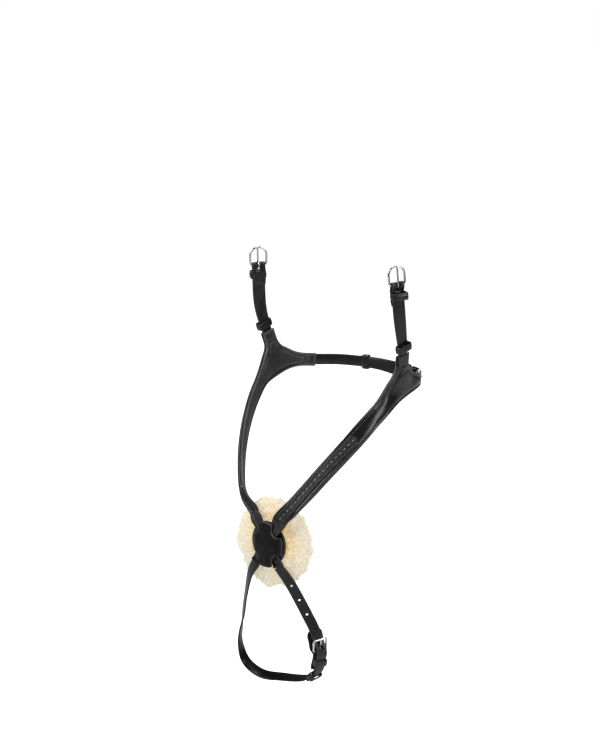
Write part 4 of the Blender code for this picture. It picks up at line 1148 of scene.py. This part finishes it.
def spot_tree(spots):
    found = kdtree.KDTree(len(spots))
    for number, spot in enumerate(spots):
        found.insert(spot, number)
    found.balance()
    return found


def leather_top(inset, panel):
    """The outer leather's face: round edge, crease, sewn groove, and padding that swells inside it."""
    height = LEATHER_THICKNESS / 2 * (1 + round_rise(inset, LEATHER_THICKNESS / 2))
    height -= CREASE * bump(inset, 1.6 * MM, 0.3 * MM)
    height -= 0.42 * MM * bump(inset, SEAM_INSET, 0.55 * MM)
    height += 0.75 * MM * ease((panel - 3.5 * MM) / (4.5 * MM))
    return LEATHER_LIFT + height


def leather_back(inset, _):
    return LEATHER_LIFT + LEATHER_THICKNESS / 2 * (1 - round_rise(inset, LEATHER_THICKNESS / 2))


def lining_top(inset, panel):
    """The lining's face against the horse: a rolled rim, a sewn groove and a soft raised panel."""
    roll = math.sqrt(max(1 - ((inset - RIM * 0.45) / (RIM * 0.45)) ** 2, 0)) if inset < RIM * 0.9 else 0
    height = LINING_THICKNESS * 0.45 + 1.3 * MM * roll * min(inset / (0.4 * MM), 1) ** 0.5
    height -= 0.5 * MM * bump(inset, RIM, 0.6 * MM)
    height += 1.4 * MM * ease((panel - RIM - 0.2 * MM) / (1.8 * MM))
    return -LEATHER_LIFT - height


def lining_back(inset, panel):
    """The back of the lining, raised by the padding in it, apart from where a strap is tucked in."""
    filled = (2 * LEATHER_LIFT - CLEARANCE) * ease((panel - 0.2 * MM) / (1.4 * MM))
    return -LEATHER_LIFT - LINING_THICKNESS * 0.45 * (1 - round_rise(inset, LINING_THICKNESS)) + filled


def cheek_piece(prefix, side_sign, lining_layer):
    """The outer leather or the lining of a cheek, all in one piece."""
    margin = LINING_MARGIN if lining_layer else 0
    arms = cheek_arms(side_sign, lining_layer)
    all_rows = []
    for arm in arms:
        others = [edge_ends(side_sign, other) for other in arms if other is not arm]
        all_rows.append(arm_rows(side_sign, arm, others, margin))
    tucks = [arm[5] for arm in arms]
    near_edge = edge_finder(all_rows)
    sheet = bmesh.new()
    for attribute in ("edge", "groove"):
        sheet.verts.layers.float.new(attribute)
    for lift in (lining_top, lining_back) if lining_layer else (leather_top, leather_back):
        cheek_surface(sheet, side_sign, all_rows, tucks, near_edge, lift)
    seal(sheet, reach=0.02 * MM)
    if lining_layer:
        made = finish_piece(f"{prefix}_cheek_lining_finished", sheet, lining, "noseband",
                            f"{prefix}_cheek_padding")
    else:
        finish_piece(f"{prefix}_cheek_leather_finished", sheet, bridle, "noseband")
    sew_cheek(prefix, all_rows, tucks, lining_layer)


def seam_spots(all_rows, inset, height):
    """The three seams that run along a cheek's hollow edges, at an inset from them."""
    edges = {}
    for number, rows in enumerate(all_rows):
        for which in (0, 1):
            line = []
            for low, high, out, left in rows:
                if left < inset:
                    continue
                inwards = (high - low).normalized() * inset
                spot = low + inwards if which == 0 else high - inwards
                line.append((spot + out * height, out))
            edges[(number, which)] = line
    seams = []
    used = set()
    for key, line in edges.items():
        if key in used:
            continue
        partner = min((other for other in edges if other[0] != key[0] and other not in used),
                      key=lambda other: (edges[other][0][0] - line[0][0]).length)
        used.update((key, partner))
        seams.append(line[:2:-1] + edges[partner][3:])
    return seams


def end_seams(rows, tuck, inset, height):
    """Two rows of stitches across an arm, where the strap is tucked into it."""
    seams = []
    for reach in (2.2 * MM, tuck - 1.2 * MM):
        low, high, out, _ = min(rows, key=lambda row: abs(row[3] - reach))
        inwards = (high - low).normalized() * (inset + 0.8 * MM)
        seams.append([(low + inwards + out * height, out), (high - inwards + out * height, out)])
    return seams


# How each layer is sewn: its kind, thread, inset, half a stitch's width, the shift outwards, and its face
CHEEK_SEAMS = {
    True: ("lining", pale_thread, RIM, 0.52 * MM, 0.05 * MM, lining_top),
    False: ("leather", grey_thread, SEAM_INSET, 0.4 * MM, -0.05 * MM, leather_top),
}


def sew_cheek(prefix, all_rows, tucks, lining_layer):
    kind, look, inset, size, shift, top = CHEEK_SEAMS[lining_layer]
    thread = bmesh.new()
    for seam in seam_spots(all_rows, inset, top(inset, inset) + shift):
        stitch_row(thread, seam, 2.8 * MM, 2.5 * MM, size)
    for rows, tuck in zip(all_rows, tucks):
        for seam in end_seams(rows, tuck, inset, top(9 * MM, 0)) if tuck else ():
            stitch_row(thread, seam, 2.6 * MM, 2.0 * MM, 0.4 * MM)
    finish_piece(f"{prefix}_cheek_{kind}_stitches", thread, look, "noseband")


# Nose bands

BAND_CLOSE = 7 * MM
BAND_END_STEPS = (0, 0.15, 0.4, 0.8, 1.4, 2.2, 3.4, 5)
BAND_CROWN = 0.3 * MM
BAND_BACK = LEATHER_FRONT + 0.2 * MM
# The wavy rows of stitches: how far across each lies, how far it swings and its thread
BAND_WAVES = ((-5.2, 0.5, "edge"), (-3.6, 0.9, "black"), (-1.9, -0.9, "black"), (1.9, 0.9, "black"),
              (3.6, -0.9, "black"), (5.0, -0.5, "edge"))


def nose_band(prefix, side_sign):
    """The raised band on a nose strap: pebbled, edged with fancy rows, a white thread down its middle."""
    nose = nose_route(side_sign)
    start = nose.length * BAND_SHARE - 3 * MM
    end = nose.marks[-2] - UPPER_MOUTH - 12 * MM
    lengths = [start + step * MM for step in BAND_END_STEPS]
    lengths += lengths_between(start + BAND_CLOSE, end - BAND_CLOSE, 2.4 * MM)
    lengths += [end - step * MM for step in BAND_END_STEPS[::-1]]

    def width(along):
        return NOSE_BAND_WIDTH * max(round_rise(min(along - start, end - along), BAND_CLOSE), 0.12)

    rows = layer_rows(nose, lengths, BAND_BACK, width)
    strap_piece(f"{prefix}_raised_nose_band", rows, BAND_THICKNESS, pebbled, "noseband", BAND_CROWN, 0.1 * MM,
                (f"{prefix}_nose_band",))
    top = BAND_BACK + BAND_THICKNESS + BAND_CROWN
    middle = []
    for along in lengths_between(start + 2 * MM, end - 2 * MM, 1.2 * MM):
        point, _, facing, _ = nose.frame(along)
        middle.append((point + facing * (top + 0.02 * MM), facing))
    threads = {kind: bmesh.new() for kind in ("white", "black", "edge")}
    stitch_row(threads["white"], middle, 7.0 * MM, 3.3 * MM, 0.46 * MM)
    for offset, swing, kind in BAND_WAVES:
        wave = []
        for number, along in enumerate(lengths_between(start + 4 * MM, end - 4 * MM, 2.1 * MM)):
            point, _, facing, side = nose.frame(along)
            across = offset * MM + swing * MM * (1 if number % 2 else -1)
            drop = BAND_CROWN * (1 - ease((5.4 * MM - abs(across)) / (4.2 * MM)))
            wave.append((point + side * across + facing * (top - drop), facing))
        for here, there in zip(wave, wave[1:]):
            stitch_row(threads[kind], [here, there], 2.6 * MM, 2.1 * MM, 0.36 * MM)
    for kind, look in (("white", white_thread), ("black", black_thread), ("edge", grey_thread)):
        finish_piece(f"{prefix}_band_{kind}_stitches", threads[kind], look, "noseband")


# Each nose strap's skived end, where it meets the chin loop: its layer, the steps of its rows in
# millimetres, how much narrower it is than the strap, its thickness, and the lift's start, change and run
STRAP_END_LAYERS = (
    ("lip", (-3.5, -2.6, -1.8, -1, -0.3, 0.4, 1.2), 1 * MM, 1 * MM,
     LEATHER_LIFT - 1 * MM, -0.6 * MM, (-3 * MM, -0.5 * MM)),
    ("tab", (-3, -2.4, -1.6, -0.8, -0.2, 0.3), 0.6 * MM, 0.5 * MM,
     LEATHER_FRONT - 0.15 * MM, 1.2 * MM, (-2.5 * MM, -0.3 * MM)),
)


def nose_strap_end(prefix, side_sign):
    """The lip behind a nose strap's end and the tab before it, either side of its joint."""
    nose = nose_route(side_sign)
    for layer, steps, narrowed, thickness, start, change, (first, last) in STRAP_END_LAYERS:

        def lift(along):
            return start + change * ramp(along, nose.length + first, nose.length + last)

        lengths = [nose.length + step * MM for step in steps]
        rows = layer_rows(nose, lengths, lift, CROSSING_STRAP_WIDTH - narrowed)
        strap_piece(f"{prefix}_nose_strap_{layer}", rows, thickness, bridle, "noseband", 0, 0)


# Both sides

def dress_side(prefix, side_sign):
    for lining_layer in (False, True):
        cheek_piece(prefix, side_sign, lining_layer)
    nose_band(prefix, side_sign)
    nose_strap_end(prefix, side_sign)
    up = head_route(side_sign)
    bar = up.length
    head = f"{prefix}_head"
    folded_strap(f"{head}_strap", up, UP_ARM - TUCK, bar, HEAD_STRAP_WIDTH, "noseband")
    place = up.frame(bar)
    buckle_frame(head, place, HEAD_STRAP_WIDTH + 2 * FRAME_PLAY + WIRE, HEAD_FRAME_LENGTH, True)
    buckle_tongue(head, place, ((4 * MM, TONGUE_LIFT), (HEAD_FRAME_LENGTH + 1.5 * MM, TONGUE_LIFT)))
    leather_loop(f"{head}_keeper", up.frame(bar - HEAD_KEEPER_BACK), HEAD_STRAP_WIDTH + 2 * CLEARANCE,
                 LOOP_BACK, STRAP_THICKNESS / 2 + BILLET_SPACE, RUNNER_LENGTH, "noseband")
    leather_loop(f"{head}_runner", up.frame(HEAD_RUNNER), HEAD_STRAP_WIDTH + 2 * RUNNER_PLAY,
                 LOOP_BACK - RUNNER_PLAY / 2, STRAP_THICKNESS / 2 + HEAD_RUNNER_SPACE, RUNNER_LENGTH,
                 f"{head}_runner")


# Jaw strap and chin loop

LOW_TONGUE = ((2.5 * MM, 2.3 * MM), (5 * MM, 1.7 * MM),
              (LOW_FRAME_LENGTH + 0.2 * MM, LOW_FRAME_RISE + TONGUE_LIFT))
GUARD_END_STEPS = (7.5, 6, 4.6, 3.4, 2.3, 1.4, 0.8, 0.4, 0.15, 0)


def low_buckle(prefix, route, bar, width, body):
    """A buckle whose frame leans out over the billet, and its keeper."""
    place = route.frame(bar)
    point, travel, facing, side = place
    lean = math.asin(LOW_FRAME_RISE / LOW_FRAME_LENGTH)
    up = travel * math.cos(lean) + facing * math.sin(lean)
    buckle_frame(prefix, (point, up, facing, side), width + 2 * FRAME_PLAY + WIRE, LOW_FRAME_LENGTH, False)
    buckle_tongue(prefix, place, LOW_TONGUE)
    high = STRAP_THICKNESS / 2 + STRAP_THICKNESS + 3 * CLEARANCE
    leather_loop(f"{prefix}_keeper", route.frame(bar - KEEPER_BACK), width + 2 * CLEARANCE, LOOP_BACK, high,
                 KEEPER_LENGTH, body)


def guard_piece(prefix, route, bar, start, wide_from, width, body):
    """A padded guard that lies behind a buckle and reaches past its far bar, sewn round its rim."""
    tip = bar + LOW_FRAME_LENGTH + GUARD_OVERHANG
    near = STRAP_BACK - CLEARANCE - GUARD_THICKNESS
    behind = near - 3.5 * CLEARANCE - KEEPER_THICKNESS - STRAP_THICKNESS
    end = round_end(1, tip, 9 * MM)

    def lift(along):
        return blend(near, behind, ramp(along, bar - 36 * MM, bar - 22 * MM))

    def spread(along):
        return blend(width - 1 * MM, width + 2 * GUARD_MARGIN, ramp(along, *wide_from)) * end(along)

    lengths = lengths_between(start, tip - 9 * MM, 2.2 * MM) + [tip - step * MM for step in GUARD_END_STEPS]
    rows = layer_rows(route, lengths, lift, spread)
    made = strap_piece(f"{prefix}_guard_finished", rows, GUARD_THICKNESS, padded_hide, body, GUARD_CROWN,
                       GUARD_CREASE)
    thread = bmesh.new()
    for sign in (-1, 1):
        spots = []
        for point, side, here, out in rows:
            if here > 8 * MM:
                across = sign * (here / 2 - 1.9 * MM)
                spots.append((point + side * across + out * (GUARD_THICKNESS - 0.25 * MM), out))
        stitch_row(thread, spots, 2.8 * MM, 2.1 * MM, 0.32 * MM)
    finish_piece(f"{prefix}_guard_stitches", thread, black_thread, body)


def low_runner(prefix, route, along, width, play):
    high = STRAP_THICKNESS / 2 + CLEARANCE + STRAP_THICKNESS + play
    leather_loop(f"{prefix}_runner", route.frame(along), width + 2 * RUNNER_PLAY, STRAP_BACK - play, high,
                 KEEPER_LENGTH, f"{prefix}_runner")


def dress_jaw():
    route = jaw_route(-1)
    bar = route.length - REAR_ARM - LOW_FRAME_LENGTH - 6 * MM
    folded_strap("jaw_strap", route, REAR_ARM - TUCK, bar, JAW_STRAP_WIDTH, "noseband")
    runner = route.marks[5] - 18 * MM
    start = runner + KEEPER_LENGTH / 2 + 1 * MM
    guard_piece("jaw", route, bar, start, (start, bar), JAW_STRAP_WIDTH, "noseband")
    billet_piece("jaw_billet", route, bar, runner - 14 * MM, route.length - REAR_ARM + TUCK, JAW_STRAP_WIDTH,
                 (-1,), "noseband")
    low_buckle("jaw", route, bar, JAW_STRAP_WIDTH, "noseband")
    low_runner("jaw", route, runner, JAW_STRAP_WIDTH, RUNNER_PLAY)


def dress_chin():
    route = chin_route()
    bar = route.marks[-1 - CHIN_BUCKLE_MARK]
    folded_strap("chin_strap", route, 0.5 * MM, bar, CHIN_STRAP_WIDTH, "chin_loop", thin_hide)
    runner = route.marks[-1 - CHIN_RUNNER_MARK] - 2 * MM
    start = runner + KEEPER_LENGTH / 2 + CHIN_RUNNER_PLAY + 0.8 * MM
    guard_piece("chin", route, bar, start, (bar - 8 * MM, bar + 2 * MM), CHIN_STRAP_WIDTH, "chin_loop")
    billet_piece("chin_billet", route, bar, runner - 14 * MM, route.length, CHIN_STRAP_WIDTH, (1, 2, 3, 4),
                 "chin_loop")
    low_buckle("chin", route, bar, CHIN_STRAP_WIDTH, "chin_loop")
    low_runner("chin", route, runner, CHIN_STRAP_WIDTH, CHIN_RUNNER_ROOM)


# Crossing

def crossing_point(lift, across=0.0, rise=0.0):
    """A point on the crossing, this far out from the near strap's middle plane."""
    return Vector((across, -CROSSING_REACH - lift, -CROSSING_DROP + rise))


# A round plate's section from its rim in over the front and back behind: inset in millimetres, share of
# its thickness and how much of the lighter edge colour it gets, partly wear and partly painted highlight
PLATE_FRONT = ((0, 0.5, 1), (0.1, 0.78, 0.8), (0.35, 0.94, 0.4), (0.9, 1, 0.1), (2.2, 1, 0), (8, 1, 0))
PLATE_BEHIND = ((8, 0, 0), (0.9, 0, 0), (0.3, 0.1, 0.5))


def round_plate(name, size, back, thickness, look):
    """An oval of leather with burnished edges."""
    half_x, half_z = size[0] / 2, size[1] / 2
    middle = [(half_x * 0.98, share, 0) for share in (1, 0)]
    front, behind = ([(inset * MM, *rest) for inset, *rest in part] for part in (PLATE_FRONT, PLATE_BEHIND))
    section = front + middle + behind
    rings = []
    for step in range(72):
        turn = math.tau * step / 72
        spots = []
        for inset, share, _ in section:
            across = math.cos(turn) * (half_x - inset)
            rise = math.sin(turn) * (half_z - inset * half_z / half_x)
            spots.append(crossing_point(back + thickness * share, across, rise))
        rings.append(spots)
    finish_piece(name, skin(rings, [wear_and_highlight for _, _, wear_and_highlight in section], joined=True), look, "noseband")


COVER_EDGE_LIFT = BASE_FRONT + CLEARANCE
COVER_MIDDLE_LIFT = LEATHER_FRONT + LAYER_GAP
COVER_PLACES = (0, 0.1, 0.3, 0.65, 1.0, 1.4, 1.8, 2.3, 3.2)


def cover_reach(turn):
    """How far the cover's rim lies from its middle in one direction, with a bay for each strap."""
    across, rise = math.cos(turn), math.sin(turn)
    half_x, half_z = COVER_SIZE[0] / 2, COVER_SIZE[1] / 2
    reach = (abs(across / half_x) ** COVER_POWER + abs(rise / half_z) ** COVER_POWER) ** (-1 / COVER_POWER)
    bay_x = math.copysign(half_x * 0.88, across)
    bay_z = math.copysign(COVER_SIZE[1] * 0.36, rise)
    along = across * bay_x + rise * bay_z
    square = along * along - (bay_x * bay_x + bay_z * bay_z - COVER_NOTCH**2)
    return min(reach, along - math.sqrt(square)) if square > 0 else reach


def cover_lift(across):
    half = COVER_SIZE[0] / 2
    return blend(COVER_MIDDLE_LIFT, COVER_EDGE_LIFT, ramp(abs(across), half - 6 * MM, half - 1.5 * MM))


def crossing_cover():
    """The notched cover, domed over the crossed straps and sewn down at its two sides."""
    turns = [math.tau * step / COVER_SPOTS for step in range(COVER_SPOTS)]
    reaches = [cover_reach(turn) for turn in turns]
    for _ in range(2):
        reaches = [(before + 2 * here + after) / 4
                   for before, here, after in zip(reaches[-1:] + reaches, reaches, reaches[1:] + reaches[:1])]
    outline = spot_tree([(math.cos(turn) * reach, math.sin(turn) * reach, 0)
                         for turn, reach in zip(turns, reaches)])
    rings = []
    for turn, reach in zip(turns, reaches):
        insets = [place * MM for place in COVER_PLACES]
        insets += [blend(insets[-1], reach, share) for share in (0.1, 0.2, 0.32, 0.45, 0.6, 0.75, 0.9, 1)]
        section = []
        for inset in insets:
            height = COVER_THICKNESS / 2 * (1 + round_rise(inset, 1 * MM))
            height -= 0.18 * MM * bump(inset, 1.6 * MM, 0.3 * MM)
            spot = (math.cos(turn) * (reach - inset), math.sin(turn) * (reach - inset), 0)
            height += COVER_DOME * ease((outline.find(spot)[2] - 1 * MM) / (14 * MM))
            section.append((inset, height))
        inner = 8 * MM if reach > 9 * MM else reach * 0.8
        section += [(reach, 0), (inner, 0), (1 * MM, 0), (0.3 * MM, 0.3 * MM)]
        spots = []
        for inset, height in section:
            across = math.cos(turn) * (reach - inset)
            rise = math.sin(turn) * (reach - inset)
            spots.append(crossing_point(cover_lift(across) + height, across, rise))
        rings.append(spots)
    # The rim marks give the cover its painted highlight line.
    marks = [math.exp(-place / WEAR_AND_HIGHLIGHT_REACH) for place in COVER_PLACES] + [0] * 11 + [0.5]
    finish_piece("crossing_cover_finished", skin(rings, marks, joined=True), cover_hide, "noseband")
    thread = bmesh.new()
    for sign in (-1, 1):
        across = sign * (COVER_SIZE[0] / 2 - 2.4 * MM)
        lift = cover_lift(across) + COVER_THICKNESS - 0.05 * MM
        out = Vector((sign * 0.5, -0.87, 0))
        line = [(crossing_point(lift, across, rise * MM), out) for rise in range(-9, 10)]
        stitch_row(thread, line, 2.5 * MM, 1.9 * MM, 0.33 * MM)
    finish_piece("crossing_stitches", thread, black_thread, "noseband")


# Sheepskin. Its outline is a share of the pad's radius at each angle, from the near side round over the
# top. Its section goes by places from the front middle, 0, round to the back, 1

PAD_OUTLINE = ((0, 0.98), (52, 1.02), (92, 1.02), (141, 0.98), (196, 1.03), (252, 1.13), (290, 1.0),
               (322, 0.93), (360, 0.98))
PAD_SPREADS = ((0, 0), (0.3, 0.45), (0.42, 0.66), (0.52, 0.86), (0.6, 0.95), (0.68, 0.9), (0.78, 0.72),
               (0.9, 0.4), (1, 0))
PAD_DEPTHS = ((0, -1), (0.3, -1), (0.42, -0.8), (0.52, -0.42), (0.6, 0.05), (0.68, 0.5), (0.78, 0.84),
              (0.9, 1), (1, 1))
LOCK_SIDES = 4
LOCK_RINGS = 4
LOCK_EDGE = 0.58
LOCK_RADII = (0.7 * MM, 1.45 * MM)
LOCK_LENGTHS = (3.6, 6.4)
LOCK_SINK = 1.6 * MM
LOCK_SPREAD = 2.2 * MM
TUFT_SEED = 7
# Each zone's name, number of locks, and first and last place
FLEECE_ZONES = (("front", 5200, 0.2, 0.62), ("rim", 4200, 0.46, 0.72), ("back", 3600, 0.66, 0.99))


def evenly(share):
    return share


def pad_surface(turn, place, reach_scale):
    """A point on the pad's core, at an angle and a place of its section."""
    spread = from_marks(PAD_SPREADS, place, evenly)
    depth = from_marks(PAD_DEPTHS, place, evenly)
    radius = PAD_DIAMETER / 2 * spread * reach_scale * from_marks(PAD_OUTLINE, math.degrees(turn) % 360)
    lift = PAD_FRONT - PAD_THICKNESS / 2 - depth * PAD_THICKNESS / 2
    return crossing_point(lift, math.cos(turn) * radius, math.sin(turn) * radius) + Vector(PAD_SHIFT)


def fleece_core():
    """The dense body of the fleece, uneven where its locks part."""
    centre = crossing_point(PAD_FRONT - PAD_THICKNESS / 2) + Vector(PAD_SHIFT)
    rings = []
    for step in range(120):
        turn = math.tau * step / 120
        ring = []
        for number in range(41):
            spot = pad_surface(turn, number / 40, 0.95)
            puff = noise.noise(spot * 210) * 1.6 * MM + noise.noise(spot * 520) * 0.8 * MM
            if number in (0, 40):
                puff = 0
            ring.append(spot + (spot - centre).normalized() * (puff - 0.6 * MM) * (0.2 if number < 12 else 1))
        ring += [pad_surface(turn, 1 - number / 40, 0.0) for number in (12, 28)]
        rings.append(ring)
    shape = skin(rings, joined=True)
    tip = shape.verts.layers.float.new("tip")
    middle = crossing_point(0)
    for vertex in shape.verts:
        away = math.hypot(vertex.co.x - middle.x, vertex.co.z - middle.z)
        vertex[tip] = 0.1 + 0.5 * ease((away - 20 * MM) / (34 * MM))
    return shape


def jitter(chance):
    return Vector((chance.uniform(-1, 1), chance.uniform(-1, 1), chance.uniform(-1, 1)))


def lock_root(chance, first, last):
    """Where a lock stands on the pad, which way it lies, how long it is, how it bends and its radius."""
    turn = chance.uniform(0, math.tau)
    place = chance.uniform(first, last)
    spot = pad_surface(turn, place, 0.955)
    radial = Vector((math.cos(turn), 0, math.sin(turn)))
    rim = 1 - min(abs(place - LOCK_EDGE) / 0.2, 1)
    face = Vector((0, -1 if place < LOCK_EDGE else 1, 0))
    tuft = noise.noise_vector(spot * 130)
    away = radial * (1 + 0.4 * rim) + face * (0.34 * (1 - rim)) + jitter(chance) * 0.2 + tuft * 0.55
    away.normalize()
    clump = noise.noise(spot * 150 + Vector((7, 3, 1)))
    length = chance.uniform(*LOCK_LENGTHS) * MM * (1 + 0.8 * clump + 0.2 * rim)
    bend = jitter(chance) + radial * 0.3
    bend = (bend - away * bend.dot(away)).normalized() * 0.34
    root = spot - away * LOCK_SINK + radial * (LOCK_SPREAD * clump * rim)
    return root, away, length, bend, chance.uniform(*LOCK_RADII)


def fleece_locks(count, first, last, seed):
    """Locks of wool: soft four-sided cones that bend, twist and thin to their tips."""
    chance = random.Random(seed)
    locks = [lock_root(chance, first, last) for _ in range(count)]
    shape = bmesh.new()
    columns = count * (LOCK_SIDES + 1)
    bmesh.ops.create_grid(shape, x_segments=columns - 1, y_segments=LOCK_RINGS - 1, size=0.5)
    tip = shape.verts.layers.float.new("tip")
    middle = crossing_point(0)
    between = []
    for face in shape.faces:
        column = int((face.calc_center_median().x + 0.5) * (columns - 1))
        if column % (LOCK_SIDES + 1) == LOCK_SIDES:
            between.append(face)
    bmesh.ops.delete(shape, geom=between, context="FACES_ONLY")
    bmesh.ops.delete(shape, geom=[line for line in shape.edges if not line.link_faces], context="EDGES")
    for vertex in shape.verts:
        column = round((vertex.co.x + 0.5) * (columns - 1))
        share = vertex.co.y + 0.5
        root, away, length, bend, radius = locks[column // (LOCK_SIDES + 1)]
        turn = math.tau * (column % (LOCK_SIDES + 1)) / LOCK_SIDES + share * 1.2
        spread = away.orthogonal().normalized()
        size = radius * (1 - 0.94 * share**1.6)
        base = root + away * (length * share) + bend * (length * share * share)
        vertex.co = base + (spread * math.cos(turn) + away.cross(spread) * math.sin(turn)) * size
        far = math.hypot(base.x - middle.x, base.z - middle.z)
        vertex[tip] = 0.2 * share + 0.14 + 0.66 * ease((far - 14 * MM) / (30 * MM))
    return seal(shape, LOCK_SIDES)


def dress_crossing():
    round_plate("crossing_base_finished", BASE_SIZE, BASE_BACK, LEATHER_THICKNESS, bridle)
    round_plate("sheepskin_backing_finished", (BACKING_DIAMETER, BACKING_DIAMETER), BACKING_BACK,
                BACKING_THICKNESS, fleece_hide)
    crossing_cover()
    core = finish_piece("fleece_core", fleece_core(), fleece, "noseband", "wool_pile")
    # Without a seed, the vector noise that lays the tufts is another one in each run
    noise.seed_set(TUFT_SEED)
    for zone, count, first, last in FLEECE_ZONES:
        finish_piece(f"fleece_{zone}_locks", fleece_locks(count, first, last, count), fleece, "noseband")


place_camera()
light_room()
lay_floor()
dress_side("near", 1)
dress_side("off", -1)
dress_jaw()
dress_chin()
dress_crossing()
